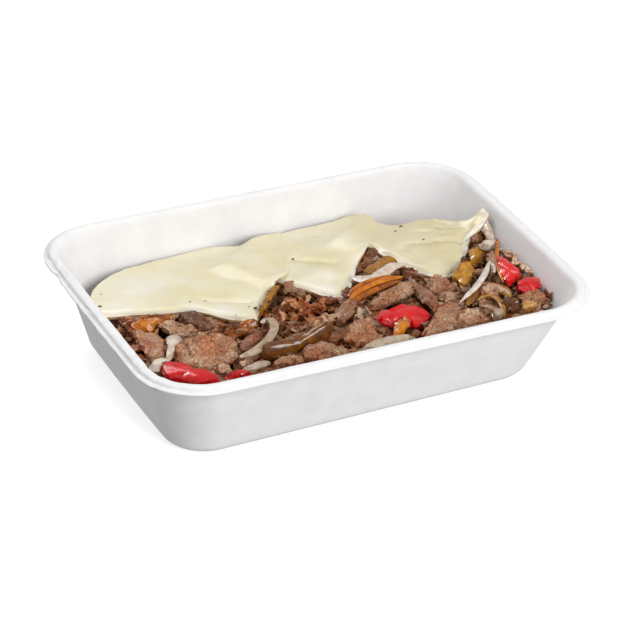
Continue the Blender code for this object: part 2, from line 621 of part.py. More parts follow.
def slice_shape_at(top, outline, shrink):
    """A beef slice as points and faces: a crowned top over its outline, rooted in the core."""
    count = SLICE_POINTS
    curve = closed_curve(outline, count)
    mid_x = sum(p[0] for p in curve) / count
    mid_y = sum(p[1] for p in curve) / count
    points = []
    faces = []
    for share, lift in SLICE_RINGS:
        start = len(points)
        for number, (x, y) in enumerate(curve):
            x = mid_x + (x - mid_x) * share * shrink
            y = mid_y + (y - mid_y) * share * shrink
            wave = SLICE_WAVE * share * math.sin(2.4 * number + mid_x)
            points.append((x, y, core_level(x, y) - SLICE_ROOT if lift is None else top + lift + wave))
        if start:
            faces += band(start - count, start, count)
    faces.append(tuple(range(count - 1, -1, -1)))
    points.append((mid_x, mid_y, top + SLICE_CROWN))
    faces += [(start + i, start + (i + 1) % count, len(points) - 1) for i in range(count)]
    return points, faces


def crumb_shape(x, y, size, rise, rng):
    """A small torn bit of beef: an uneven ball with few sides, half sunk in the core."""
    rings, sides = 3, 6
    centre = core_level(x, y) + rise
    turn = rng.uniform(0, math.pi)
    points = [(x, y, centre - size)]
    for ring in range(rings):
        angle = math.pi * (ring + 1) / (rings + 1)
        for number in range(sides):
            around = turn + 2 * math.pi * number / sides
            reach = size * rng.uniform(0.75, 1.15) * math.sin(angle)
            points.append((x + reach * math.cos(around) * CRUMB_LONG,
                           y + reach * math.sin(around) * CRUMB_NARROW, centre - size * math.cos(angle)))
    points.append((x, y, centre + size))
    faces = [(0, 1 + (i + 1) % sides, 1 + i) for i in range(sides)]
    for ring in range(rings - 1):
        faces += band(1 + ring * sides, 1 + (ring + 1) * sides, sides)
    last = 1 + (rings - 1) * sides
    faces += [(last + i, last + (i + 1) % sides, len(points) - 1) for i in range(sides)]
    return points, faces


def swollen_tree(points, faces, extra):
    """A search tree of a shape whose points stand out by the extra distance."""
    shape = bmesh.new()
    made = [shape.verts.new(p) for p in points]
    for face in faces:
        shape.faces.new([made[n] for n in face])
    bmesh.ops.recalc_face_normals(shape, faces=shape.faces)
    bmesh.ops.triangulate(shape, faces=shape.faces)
    shape.normal_update()
    moved = [(v, v.co + v.normal * extra) for v in shape.verts]
    for vert, place in moved:
        vert.co = place
    tree = BVHTree.FromBMesh(shape)
    shape.free()
    return tree


def object_tree(thing):
    """A search tree of an object's evaluated mesh, in millimetres."""
    depsgraph = bpy.context.evaluated_depsgraph_get()
    evaluated = thing.evaluated_get(depsgraph)
    mesh = evaluated.to_mesh()
    mesh.calc_loop_triangles()
    points = [thing.matrix_world @ v.co / MM for v in mesh.vertices]
    faces = [tuple(t.vertices) for t in mesh.loop_triangles]
    evaluated.to_mesh_clear()
    return BVHTree.FromPolygons(points, faces)


def add_beef(core, others, collection):
    """Beef slices and torn bits that clear the tray and the toppings, fused to the core as one body."""
    rng = random.Random(BEEF_SEED)
    pieces = []

    def clear(points, faces):
        tree = swollen_tree(points, faces, BEEF_CLEAR)
        return not any(tree.overlap(other) for other in others)

    for top, outline in BEEF_SLICES:
        for lower, shrink in SLICE_FITS:
            points, faces = slice_shape_at(top - lower, outline, shrink)
            if clear(points, faces):
                pieces.append((points, faces))
                break
    for count, x_range, y_range, sizes, rises in CRUMBS:
        for _ in range(count):
            x, y = rng.uniform(*x_range), rng.uniform(*y_range)
            size, rise = rng.uniform(*sizes), rng.uniform(*rises)
            if y > line_at(CHEESE_FRONT, x) - CRUMB_HIDDEN:
                continue
            points, faces = crumb_shape(x, y, size, rise, rng)
            if clear(points, faces):
                pieces.append((points, faces))
    scraps = bpy.data.collections.new("beef_pieces")
    bpy.context.scene.collection.children.link(scraps)
    for number, (points, faces) in enumerate(pieces):
        add_object(f"beef_piece_{number:02d}", points, faces, "beef", scraps)
    joined = core.modifiers.new("fused", "BOOLEAN")
    joined.operation = "UNION"
    joined.operand_type = "COLLECTION"
    joined.collection = scraps
    joined.solver = "EXACT"
    depsgraph = bpy.context.evaluated_depsgraph_get()
    mesh = bpy.data.meshes.new_from_object(core.evaluated_get(depsgraph))
    core.modifiers.clear()
    core.data = mesh
    for piece in list(scraps.objects):
        bpy.data.objects.remove(piece)
    bpy.data.collections.remove(scraps)
    keep_largest_body(mesh)


def keep_largest_body(mesh):
    """Leaves one closed body: sealed hollows are filled and loose scraps dropped."""
    shape = bmesh.new()
    shape.from_mesh(mesh)
    bmesh.ops.remove_doubles(shape, verts=shape.verts, dist=MERGE)
    bmesh.ops.dissolve_degenerate(shape, edges=shape.edges, dist=MERGE)
    bmesh.ops.triangulate(shape, faces=shape.faces)
    left = set(shape.verts)
    bodies = []
    while left:
        stack = [left.pop()]
        body = []
        while stack:
            vert = stack.pop()
            body.append(vert)
            for link in vert.link_edges:
                other = link.other_vert(vert)
                if other in left:
                    left.remove(other)
                    stack.append(other)
        bodies.append(body)
    bodies.sort(key=len)
    for body in bodies[:-1]:
        bmesh.ops.delete(shape, geom=body, context="VERTS")
    shape.to_mesh(mesh)
    shape.free()


def main():
    for thing in list(bpy.data.objects):
        bpy.data.objects.remove(thing)
    meal = bpy.data.collections.new("tray_meal")
    bpy.context.scene.collection.children.link(meal)
    tray = make_tray(meal)
    core = make_core(meal)
    toppings = [make_cheese(name, shape, meal) for name, shape in CHEESE.items()]
    toppings += [make_flat_piece(name, piece, meal) for name, piece in FLAT_PIECES.items()]
    toppings += [make_strip(name, strip, meal) for name, strip in STRIPS.items()]
    bpy.context.view_layer.update()
    add_beef(core, [object_tree(thing) for thing in [tray] + toppings], meal)


main()
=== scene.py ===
import math
import random

import bmesh
import bpy
from mathutils import Matrix, Vector, noise


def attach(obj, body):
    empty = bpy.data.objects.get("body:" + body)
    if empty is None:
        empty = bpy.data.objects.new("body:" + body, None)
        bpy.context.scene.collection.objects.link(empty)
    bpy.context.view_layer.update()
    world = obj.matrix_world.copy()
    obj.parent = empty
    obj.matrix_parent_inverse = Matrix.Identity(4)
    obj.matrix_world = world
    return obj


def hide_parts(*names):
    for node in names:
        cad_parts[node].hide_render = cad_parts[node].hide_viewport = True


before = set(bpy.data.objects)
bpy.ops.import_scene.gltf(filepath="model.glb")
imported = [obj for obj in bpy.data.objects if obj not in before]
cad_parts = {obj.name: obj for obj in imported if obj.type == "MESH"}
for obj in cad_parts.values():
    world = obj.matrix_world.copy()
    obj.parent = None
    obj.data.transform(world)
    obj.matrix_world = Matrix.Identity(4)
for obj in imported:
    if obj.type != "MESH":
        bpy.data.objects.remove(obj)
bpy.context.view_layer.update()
mm = 0.001


# Small helpers.

def smooth(low, high, value):
    share = min(1.0, max(0.0, (value - low) / (high - low)))
    return share * share * (3 - 2 * share)


def along(points, share):
    # place at this share of an open smooth curve, in any dimension
    spans = len(points) - 1
    step = min(int(share * spans), spans - 1)
    part = share * spans - step
    before, start, end = points[max(step - 1, 0)], points[step], points[step + 1]
    after = points[min(step + 2, spans)]
    return tuple(0.5 * (2 * s + (e - b) * part + (2 * b - 5 * s + 4 * e - a) * part ** 2
                        + (3 * s - b - 3 * e + a) * part ** 3)
                 for b, s, e, a in zip(before, start, end, after))


def closedCurve(points, count, sharp=0.0):
    # places on a closed curve, from smooth at sharp 0 to straight sides at 1
    spans = len(points)
    places = []
    for number in range(count):
        place = number * spans / count
        step = int(place)
        four = [points[(step + offset) % spans] for offset in (-1, 0, 1, 2)]
        smoothPlace = along(four, (1 + place - step) / 3)
        straight = [a + (b - a) * (place - step) for a, b in zip(four[1], four[2])]
        places.append(tuple(s + (t - s) * sharp for s, t in zip(smoothPlace, straight)))
    return places


def lineAt(line, x):
    for (x0, y0), (x1, y1) in zip(line, line[1:]):
        if x <= x1:
            return y0 + (y1 - y0) * max(0.0, x - x0) / (x1 - x0)
    return line[-1][1]


def grain(x, y, z, size, depth=2):
    # smooth noise from -1 to 1 whose lumps are about this many millimetres across
    return noise.fractal(Vector((x, y, z)) / size, 1.0, 2.0, depth, noise_basis="PERLIN_ORIGINAL")


def hexColour(code):
    values = [int(code[start:start + 2], 16) / 255 for start in (1, 3, 5)]
    return [v / 12.92 if v <= 0.04045 else ((v + 0.055) / 1.055) ** 2.4 for v in values] + [1]


# Camera: the photo's viewing angle.

view = {"azimuth": -25.0, "elevation": 30.35, "distance": 1505.0, "right": 2.48, "up": 15.51, "lens": 174.55}

turn, lift = math.radians(view["azimuth"]), math.radians(view["elevation"])
viewBack = Vector((math.sin(turn) * math.cos(lift), -math.cos(turn) * math.cos(lift), math.sin(lift)))
viewRight = Vector((math.cos(turn), math.sin(turn), 0))
viewUp = viewBack.cross(viewRight)
eye = viewRight * view["right"] + viewUp * view["up"] + viewBack * view["distance"]
cameraData = bpy.data.cameras.new("photoCamera")
cameraData.lens = view["lens"]
cameraData.sensor_width = 36
cameraData.clip_start = 0.05
camera = bpy.data.objects.new("photoCamera", cameraData)
axes = Matrix((viewRight, viewUp, viewBack)).transposed().to_4x4()
camera.matrix_world = Matrix.Translation(eye * mm) @ axes
bpy.context.scene.collection.objects.link(camera)
bpy.context.scene.camera = camera


def raised(x, y, level, height):
    # the point at this height on the line from the eye through (x, y, level)
    part = (height - level) / (eye.z - level)
    return x + (eye.x - x) * part, y + (eye.y - y) * part, height


# Materials.

def addNode(tree, kind, settings=None, links=None):
    node = tree.nodes.new("ShaderNode" + kind)
    for key, value in (settings or {}).items():
        if hasattr(node, str(key)):
            setattr(node, key, value)
        else:
            node.inputs[key].default_value = value
    for key, socket in (links or {}).items():
        tree.links.new(socket, node.inputs[key])
    return node


def newMaterial(name, colour, roughness, settings=None):
    made = bpy.data.materials.new(name)
    made.use_nodes = True
    shader = made.node_tree.nodes["Principled BSDF"]
    shader.inputs["Base Color"].default_value = hexColour(colour)
    shader.inputs["Roughness"].default_value = roughness
    for key, value in (settings or {}).items():
        shader.inputs[key].default_value = value
    return made, made.node_tree, shader


def ramp(tree, factor, stops):
    node = addNode(tree, "ValToRGB", None, {"Fac": factor})
    bar = node.color_ramp.elements
    while len(bar) < len(stops):
        bar.new(0.5)
    for element, (place, colour) in zip(bar, stops):
        element.position = place
        element.color = hexColour(colour) if isinstance(colour, str) else (colour, colour, colour, 1)
    return node.outputs["Color"]


def mixColour(tree, factor, first, second, blend="MIX"):
    node = addNode(tree, "Mix", {"data_type": "RGBA", "blend_type": blend})
    for slot, value in ((0, factor), (6, first), (7, second)):
        if isinstance(value, bpy.types.NodeSocket):
            tree.links.new(value, node.inputs[slot])
        elif isinstance(value, str):
            node.inputs[slot].default_value = hexColour(value)
        else:
            node.inputs[slot].default_value = value
    return node.outputs[2]


def objectCoords(tree):
    return addNode(tree, "TexCoord").outputs["Object"]


def layerValue(tree, name):
    return addNode(tree, "Attribute", {"attribute_name": name}).outputs["Fac"]


def noiseValue(tree, coords, scale, detail, roughness=0.5, distortion=0.0):
    settings = {"Scale": scale, "Detail": detail, "Roughness": roughness, "Distortion": distortion}
    return addNode(tree, "TexNoise", settings, {"Vector": coords}).outputs["Fac"]


def maths(tree, operation, *values):
    node = addNode(tree, "Math", {"operation": operation})
    for slot, value in enumerate(values):
        if isinstance(value, bpy.types.NodeSocket):
            tree.links.new(value, node.inputs[slot])
        else:
            node.inputs[slot].default_value = value
    return node.outputs[0]


def bumped(tree, shader, height, depth, strength):
    bump = addNode(tree, "Bump", {"Distance": depth * mm, "Strength": strength}, {"Height": height})
    tree.links.new(bump.outputs["Normal"], shader.inputs["Normal"])


# Meshes.

def linkPiece(name, mesh, material, nodes, slot):
    piece = bpy.data.objects.new(name, mesh)
    bpy.context.scene.collection.objects.link(piece)
    mesh.materials.append(material)
    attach(piece, "root")
    if nodes:
        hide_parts(*nodes)
    return piece


def meshPiece(name, points, faces, material, nodes, slot, layers=None, creased=None):
    # points in millimetres; layers are per-point numbers that the material reads
    mesh = bpy.data.meshes.new(name)
    mesh.from_pydata([Vector(p) * mm for p in points], [], faces)
    for layer, values in (layers or {}).items():
        data = mesh.attributes.new(layer, "FLOAT", "POINT")
        data.data.foreach_set("value", values)
    shape = bmesh.new()
    shape.from_mesh(mesh)
    bmesh.ops.recalc_face_normals(shape, faces=shape.faces)
    shape.to_mesh(mesh)
    shape.free()
    mesh.shade_smooth()
    if creased:
        mesh.set_sharp_from_angle(angle=math.radians(creased))
    linkPiece(name, mesh, material, nodes, slot)


def gridFaces(across, deep):
    rows = [j * (across + 1) + i for j in range(deep) for i in range(across)]
    return [(low, low + 1, low + across + 2, low + across + 1) for low in rows]


def band(low, high, count):
    # quads between two closed rings that start at these numbers
    return [(low + n, high + n, high + (n + 1) % count, low + (n + 1) % count) for n in range(count)]


print("helpers ready")


# Tray: moulded plant fibre, pressed in a mesh mould, so matt with a fine felted skin.

tray = {"length": 230.0, "width": 172.8, "height": 47.5, "rimDrop": 2.9, "rimRadius": 31.4, "lean": -0.022,
        "endBow": 1.0, "neckLength": 216.0, "neckWidth": 158.8, "neckRadius": 26.5, "baseLength": 189.5,
        "baseWidth": 132.4, "baseRadius": 21.8, "fillet": 7.7, "shift": -3.7, "pulp": 0.95,
        "draft": math.radians(18.9), "crinkle": 0.55, "crack": 0.7, "wave": 0.2, "colour": "#E4E3E5",
        "fibre": 0.45, "speck": 6.4,
        # the rim's section: how far in from the outline, and how far below its crown
        "rim": ((8.1, 2.3), (7.6, 1.35), (7.0, 0.65), (6.2, 0.2), (5.3, 0.03), (4.4, 0.0), (3.7, 0.06),
                (3.1, 0.25), (2.7, 0.55), (2.45, 1.0), (2.3, 1.5), (2.15, 1.8), (1.9, 1.95), (1.4, 2.0),
                (0.8, 2.02), (0.35, 2.12), (0.1, 2.35), (0.0, 2.6), (0.05, 2.9))}

neckHeight = tray["height"] - 0.8 * tray["rimDrop"]
footHeight = tray["fillet"] * (1 - math.sin(tray["draft"]))
footInset = tray["fillet"] * (1 - math.cos(tray["draft"]))


def trayRing(length, width, radius, height, shift, lean):
    cornerSteps, sideSteps, endSteps = 24, 44, 72
    corners = ((1, 1, 0), (-1, 1, 90), (-1, -1, 180), (1, -1, 270))
    outline = []
    for number, (sideX, sideY, start) in enumerate(corners):
        centreX, centreY = sideX * (length / 2 - radius), sideY * (width / 2 - radius)
        for step in range(cornerSteps):
            angle = math.radians(start + 90 * step / (cornerSteps - 1))
            outline.append((centreX + radius * math.cos(angle), centreY + radius * math.sin(angle)))
        nextX, nextY, nextStart = corners[(number + 1) % 4]
        angle = math.radians(nextStart)
        targetX = nextX * (length / 2 - radius) + radius * math.cos(angle)
        targetY = nextY * (width / 2 - radius) + radius * math.sin(angle)
        hereX, hereY = outline[-1]
        steps = sideSteps if number % 2 == 0 else endSteps
        for step in range(1, steps):
            share = step / steps
            outline.append((hereX + (targetX - hereX) * share, hereY + (targetY - hereY) * share))
    ring = []
    for x, y in outline:
        bow = tray["endBow"] * max(0.0, 1 - (2 * y / width) ** 2) * smooth(0.8, 1.0, abs(2 * x / length))
        x += math.copysign(bow, x) + shift
        ring.append((x, y, height + lean * x))
    return ring


def baseSpan(inset):
    return (tray["baseLength"] - 2 * inset, tray["baseWidth"] - 2 * inset, tray["baseRadius"] - inset,
            tray["shift"])


def wallSpan(height, inset):
    share = (height - footHeight) / (neckHeight - footHeight)
    foot = baseSpan(footInset)
    neck = (tray["neckLength"], tray["neckWidth"], tray["neckRadius"], 0)
    length, width, radius, shift = [low + (high - low) * share for low, high in zip(foot, neck)]
    return length - 2 * inset, width - 2 * inset, radius - inset, shift


def trayRings():
    # inner skin from the floor up and out over the rim, with a mark for how much of it is rim
    rings = []
    inner = tray["fillet"] - tray["pulp"]
    for step in range(9):
        angle = (math.pi / 2 - tray["draft"]) * step / 8
        length, width, radius, shift = baseSpan(tray["fillet"] - inner * math.sin(angle))
        rings.append((trayRing(length, width, radius, tray["fillet"] - inner * math.cos(angle), shift, 0), 0))
    for step in range(1, 15):
        height = 6 + (neckHeight - 1.6 - 6) * step / 14
        length, width, radius, shift = wallSpan(height, tray["pulp"] / math.cos(tray["draft"]))
        lean = tray["lean"] * height / neckHeight
        rings.append((trayRing(length, width, radius, height, shift, lean), 0))
    # the wall rolls over into the rim, which crowns and then drops to its lip
    for inset, drop in tray["rim"]:
        ring = trayRing(tray["length"] - 2 * inset, tray["width"] - 2 * inset,
                        tray["rimRadius"] - inset, tray["height"] - drop, 0, tray["lean"])
        rings.append((ring, min(1.0, (8.4 - inset) / 2.5)))
    return rings


def crinkled(x, y, z, rim):
    # the rim's left end is creased and cracked from handling, and the walls are slightly uneven
    wave = tray["wave"] * grain(x, y, z, 26, 1) * smooth(0, 20, z)
    here = rim * smooth(-92, -106, x) * smooth(75, 40, y - 10)
    here += 0.22 * rim
    soft = tray["crinkle"] * grain(x, y + 40, z, 5, 3)
    ridge = abs(grain(x * 1.6, y, z, 9, 2))
    crack = -tray["crack"] * max(0.0, 1 - ridge / 0.1) * smooth(-0.05, 0.2, grain(x, y, 50, 14, 1))
    return wave + here * (soft + crack)


def buildTray(material):
    rings = trayRings()
    count = len(rings[0][0])
    points = []
    for ring, _ in rings:
        points += ring
    faces = [tuple(range(count))]
    for number in range(len(rings) - 1):
        low, high = number * count, (number + 1) * count
        faces += [(high + i, high + (i + 1) % count, low + (i + 1) % count, low + i) for i in range(count)]
    mesh = bpy.data.meshes.new("fibreTray")
    mesh.from_pydata([Vector(p) * mm for p in points], [], faces)
    normals = [v.normal.copy() for v in mesh.vertices]
    rims = [rim for ring, rim in rings for _ in ring]
    for vert, normal, rim in zip(mesh.vertices, normals, rims):
        place = vert.co / mm
        vert.co += normal * (min(crinkled(*place, rim), 0.6 - 0.58 * rim) * mm)
    mesh.shade_smooth()
    piece = linkPiece("fibreTray", mesh, material, ["tray"], "fibre")
    shell = piece.modifiers.new("pulp", "SOLIDIFY")
    shell.thickness = tray["pulp"] * mm
    shell.offset = -1
    shell.use_even_offset = False


def fibreMaterial():
    # bagasse pulp: white, matt and faintly mottled, with a felted skin of fibres and rare dark specks
    made, tree, shader = newMaterial("mouldedBagassePulp", tray["colour"], 0.82, {"Specular IOR Level": 0.35})
    coords = objectCoords(tree)
    tone = ramp(tree, noiseValue(tree, coords, 90, 4, 0.6), ((0.3, "#E8E7E8"), (0.7, "#F0EFEE")))
    specks = addNode(tree, "TexVoronoi", {"Scale": 1 / (tray["speck"] * mm)}, {"Vector": coords})
    dots = ramp(tree, specks.outputs["Distance"], ((0.0, 1.0), (0.06, 0.0)))
    rare = ramp(tree, noiseValue(tree, coords, 70, 1), ((0.66, 0.0), (0.70, 1.0)))
    faint = maths(tree, "MULTIPLY", maths(tree, "MULTIPLY", dots, rare), 0.09)
    tree.links.new(mixColour(tree, faint, tone, "#A9A29C"), shader.inputs["Base Color"])
    felt = noiseValue(tree, coords, 1 / (tray["fibre"] * mm) / 2, 5, 0.65)
    bumped(tree, shader, felt, 0.12, 0.55)
    return made


buildTray(fibreMaterial())
print("tray built")


# Heap: its levels, as the solids have them.

heap = {"crest": 32.6, "crestY": 28.0, "backFall": 4.6, "backSpan": 44.0, "frontFall": 1.6,
        "frontSpan": 38.0, "rightRise": 3.2, "leftFall": 1.8, "tipRise": 8.0,
        "underCheese": 2.9, "inOpen": 5.6, "cornerFall": 17.0, "endFall": 12.0, "floor": 12.0,
        # the outline that scattered bits keep to: half length, half width, radius and clearance
        "halfLength": 104.0, "halfWidth": 74.0, "round": 26, "clear": 2.5,
        "front": ((-110, 26), (-97, 24), (-70, 12), (-49, 0), (-35, -11), (-13, 16), (0, 2), (11, -8),
                  (23, 4), (41, 27), (50, 7), (61, -9), (72, -9), (86, 6), (97, 14), (110, 20)),
        "back": ((50, 78), (58, 57), (64, 49), (69, 45.5), (75.5, 45), (82, 42), (89, 37.5), (96, 33),
                 (103.2, 28), (110, 24)),
        "hills": ((-84, 44, 1.2, 15), (-45, 48, 1.2, 18), (-38, 10, -0.8, 12), (24, 44, 1.8, 16),
                  (8, 14, 0.9, 9), (34, 24, 0.9, 8), (58, 62, 1.3, 9), (62, 18, 1.0, 12),
                  (78, 34, 1.0, 10), (-12, 52, -1.0, 10), (46, 50, -0.8, 9))}


def heapLevel(x, y):
    if y > heap["crestY"]:
        level = heap["crest"] - heap["backFall"] * ((y - heap["crestY"]) / heap["backSpan"]) ** 2
    else:
        level = heap["crest"] - heap["frontFall"] * min(1.0, ((heap["crestY"] - y) / heap["frontSpan"]) ** 2)
    return level + heap["rightRise"] * smooth(66, 98, x) - heap["leftFall"] * smooth(-70, -98, x)


def hillsAt(x, y):
    return sum(height * math.exp(-((x - hillX) ** 2 + (y - hillY) ** 2) / radius ** 2)
               for hillX, hillY, height, radius in heap["hills"])


def openShare(x, y):
    return smooth(-3, 4, lineAt(heap["front"], x) - y)


def coreLevel(x, y):
    inOpen = openShare(x, y)
    corner = heap["cornerFall"] * smooth(-5, 13, y - lineAt(heap["back"], x))
    leftEnd = smooth(30.5, 36, math.hypot(x + 68, y - 33)) * smooth(-64, -74, x) * smooth(20, 28, y)
    corner += heap["endFall"] * leftEnd
    level = heapLevel(x, y) + hillsAt(x, y) * (1 - inOpen) - corner
    drop = heap["underCheese"] + (heap["inOpen"] - heap["underCheese"]) * inOpen
    return max(level - drop, heap["floor"])


def wallPlace(u, v, height, inset):
    # a square grid's place on the tray's rounded inside at this height
    length, width, radius, shift = wallSpan(height, inset)
    x, y = u * length / 2, v * width / 2
    overX, overY = abs(x) - (length / 2 - radius), abs(y) - (width / 2 - radius)
    if overX > 0 and overY > 0:
        pull = max(overX, overY) / math.hypot(overX, overY)
        x = math.copysign(length / 2 - radius + overX * pull, x)
        y = math.copysign(width / 2 - radius + overY * pull, y)
    return x + shift, y


def keptInside(x, y, z, gap=1.2):
    # pulls a point that would go into the tray's wall back to the wall's inner skin
    length, width, radius, shift = wallSpan(z - tray["lean"] * x * z / neckHeight, gap)
    overX, overY = abs(x - shift) - (length / 2 - radius), abs(y) - (width / 2 - radius)
    if overX > 0 and overY > 0:
        pull = min(1.0, radius / math.hypot(overX, overY))
        overX, overY = overX * pull, overY * pull
    placeX = math.copysign(length / 2 - radius + min(overX, radius), x - shift) + shift
    return placeX, math.copysign(width / 2 - radius + min(overY, radius), y), z


def buildCore(material):
    across, deep = 150, 104
    clear = tray["pulp"] / math.cos(tray["draft"]) + 0.45
    points, tones, paintedShades = [], [], []
    for j in range(deep + 1):
        for i in range(across + 1):
            u, v = 2 * i / across - 1, 2 * j / deep - 1
            height = heap["crest"]
            for _ in range(5):
                x, y = wallPlace(u, v, height, clear)
                height = coreLevel(x, y)
            inOpen = max(openShare(x, y), smooth(0, 8, y - lineAt(heap["back"], x)))
            rough = 1.5 * grain(x, y, 3, 7, 2) + 0.7 * grain(x, y, 9, 2.6, 2)
            points.append(keptInside(x, y, height + rough * inOpen))
            tones.append(0.1 + 0.2 * grain(x, y, 30, 9, 2))
            # painted shade: the core is mixed most of the way to the beef's shadow colour, less so behind the heap's
            # back line
            paintedShades.append(0.75 - 0.5 * smooth(0, 6, y - lineAt(heap["back"], x)))
    faces = gridFaces(across, deep)
    edge = [(i, 0) for i in range(across)] + [(across, j) for j in range(deep)]
    edge += [(i, deep) for i in range(across, 0, -1)] + [(0, j) for j in range(deep, 0, -1)]
    upper = [j * (across + 1) + i for i, j in edge]
    for height, inset in ((9.0, clear), (1.4, 9.5)):
        start = len(points)
        for i, j in edge:
            x, y = wallPlace(2 * i / across - 1, 2 * j / deep - 1, height, inset)
            points.append((x, y, height))
            tones.append(0.2)
            # the core's sides carry the same painted shade
            paintedShades.append(0.75)
        lower = list(range(start, len(points)))
        for n in range(len(edge)):
            following = (n + 1) % len(edge)
            faces.append((upper[n], lower[n], lower[following], upper[following]))
        upper = lower
    faces.append(tuple(upper))
    meshPiece("beefCore", points, faces, material, ["beef_heap"], "beef",
              {"tone": tones, "edge": [0.0] * len(points), "deep": paintedShades})


# Shapes that lie on the heap: sheets seen by their outline, strips along a route, and torn bits.

def pebbled(x, y, z, size):
    # rounded grains about this many millimetres across: 0 in the grooves, 1 on the crowns
    near = noise.voronoi(Vector((x, y, z)) / size)[0]
    return min(1.0, (near[1] - near[0]) * 1.7)


def sheetPlan(outline, cell, torn, seed, sharp):
    # rings of points from the middle out to a ragged outline, each with its share of the way
    length = sum(math.dist(a, b) for a, b in zip(outline, outline[1:] + outline[:1]))
    count = max(20, int(length / cell))
    curve = closedCurve(outline, count, sharp)
    midX, midY = sum(p[0] for p in curve) / count, sum(p[1] for p in curve) / count
    reach = sum(math.dist(p, (midX, midY)) for p in curve) / count
    rings = max(6, int(reach / cell))
    plan = [(midX, midY, 0.0)]
    for ring in range(1, rings + 1):
        share = (ring / rings) ** 0.85
        for x, y in curve:
            ragged = torn * (grain(x, y, seed, 3.4, 2) + 0.6 * grain(x, y, seed, 1.3, 1)) * share ** 3
            part = share * (1 + ragged / math.dist((x, y), (midX, midY)))
            plan.append((midX + (x - midX) * part, midY + (y - midY) * part, share))
    return plan, count, rings


def backed(tops, count, rings, thick, skip):
    # closes a ringed top with an underside, which has fewer rings because it is hardly seen
    faces = [(0, 1 + n, 1 + (n + 1) % count) for n in range(count)]
    for ring in range(rings - 1):
        faces += band(1 + ring * count, 1 + (ring + 1) * count, count)
    normals = [Vector((0, 0, 0)) for _ in tops]
    for face in faces:
        a, b, c = tops[face[0]], tops[face[1]], tops[face[2]]
        normal = (b - a).cross(c - a)
        for n in face:
            normals[n] += normal
    points = list(tops)
    shares = [0.0] + [((n // count + 1) / rings) ** 0.85 for n in range(rings * count)]

    def below(n):
        return tops[n] - normals[n].normalized() * (thick * (0.4 + 0.6 * math.sqrt(max(0.0, 1 - shares[n] ** 6))))

    centre = len(points)
    points.append(below(0))
    shares.append(0.0)
    starts = []
    for ring in range(skip - 1, rings - 1, skip):
        starts.append(len(points))
        points += [below(1 + ring * count + n) for n in range(count)]
        shares += [shares[1 + ring * count]] * count
    # a low side wall under the outline, so that a cut edge shows its thickness
    outline = 1 + (rings - 1) * count
    starts.append(len(points))
    points += [tops[outline + n] - Vector((0, 0, thick * 0.4)) for n in range(count)]
    shares += [1.0] * count
    starts.append(outline)
    faces += [(centre, starts[0] + (n + 1) % count, starts[0] + n) for n in range(count)]
    for low, high in zip(starts, starts[1:]):
        faces += band(high, low, count)
    return [tuple(p) for p in points], faces, shares


def sheetShape(sheet, rng):
    # Every point keeps to the line from the eye through the outline, whatever its height.
    seed = rng.uniform(0, 200)
    level, tiltX, tiltY = sheet["level"], *sheet.get("tilt", (0, 0))
    bends = [(rng.uniform(0, math.tau), rng.uniform(-0.3, 0.3), rng.uniform(0.5, 1.0) * side)
             for side in (1, -1, 1)]
    plan, count, rings = sheetPlan(sheet["outline"], sheet["cell"], sheet.get("torn", 0.0), seed,
                                   sheet.get("sharp", 0.6))
    midX, midY = plan[0][:2]
    tops = []
    for x, y, share in plan:
        height = level + 0.6 * sheet.get("crown", 0.8) * (1 - share ** 2)
        height -= 0.4 * sheet.get("droop", 0.0) * share ** 5
        height += tiltX * (x - midX) + tiltY * (y - midY)
        for angle, offset, slope in bends if sheet.get("bend") else ():
            away = (x - midX) * math.cos(angle) + (y - midY) * math.sin(angle) + offset * 10
            height += sheet["bend"] * slope * (max(0.0, away) - 2.5)
        height += sheet.get("lump", 0.5) * grain(x, y, seed, sheet.get("lumpSize", 6.0), 2)
        height += sheet.get("frill", 0.0) * share ** 3 * grain(x, y, seed + 9, 6.0, 1)
        fold = abs(grain(x, y, seed + 20, sheet.get("foldSize", 9.0), 2))
        height -= sheet.get("fold", 0.0) * max(0.0, 1 - fold / 0.16)
        if sheet.get("pebble"):
            height += sheet["pebble"] * (pebbled(x, y, seed, 1.7) - 0.5)
        tops.append(Vector(raised(x, y, level, height)))
    return backed(tops, count, rings, sheet["thick"], 3)


def stripShape(strip, rng):
    # A rounded slab section along a smooth route, thinner towards its ends.
    steps, sides = 48, 18
    end, taper, roll = strip.get("end", 0.25), strip["taper"], math.radians(strip["roll"])
    seed = rng.uniform(0, 200)
    points, shares = [], []
    for step in range(steps + 1):
        share = 0.5 - 0.5 * math.cos(math.pi * step / steps)
        here, before, after = [Vector(along(strip["route"], min(1, max(0, share + shift))))
                               for shift in (0, -0.02, 0.02)]
        ahead = (after - before).normalized()
        side = Matrix.Rotation(-roll, 3, ahead) @ ahead.cross(Vector((0, 0, 1))).normalized()
        top = side.cross(ahead)
        size = end + (1 - end) * math.sin(min(1.0, min(share, 1 - share) / taper) * math.pi / 2)
        if step in (0, steps):
            size *= 0.45
        wide = strip["wide"] / 2 * size * (1 + 0.16 * grain(share * 30, seed, 0, 7, 1))
        thick = strip["thick"] / 2 * size ** 0.7
        for number in range(sides):
            angle = 2 * math.pi * number / sides
            across = math.copysign(abs(math.cos(angle)) ** 0.75, math.cos(angle))
            over = math.copysign(abs(math.sin(angle)) ** 0.6, math.sin(angle))
            place = here + side * (wide * across) + top * (thick * over)
            x, y, z = place
            place += top * (strip.get("lump", 0.25) * grain(x, y, z + seed, 3.5, 2))
            points.append(tuple(place))
            shares.append(0.5 - 0.5 * over)
    faces = [tuple(range(sides)), tuple(range(steps * sides, (steps + 1) * sides))]
    for step in range(steps):
        faces += band(step * sides, (step + 1) * sides, sides)
    return points, faces, shares


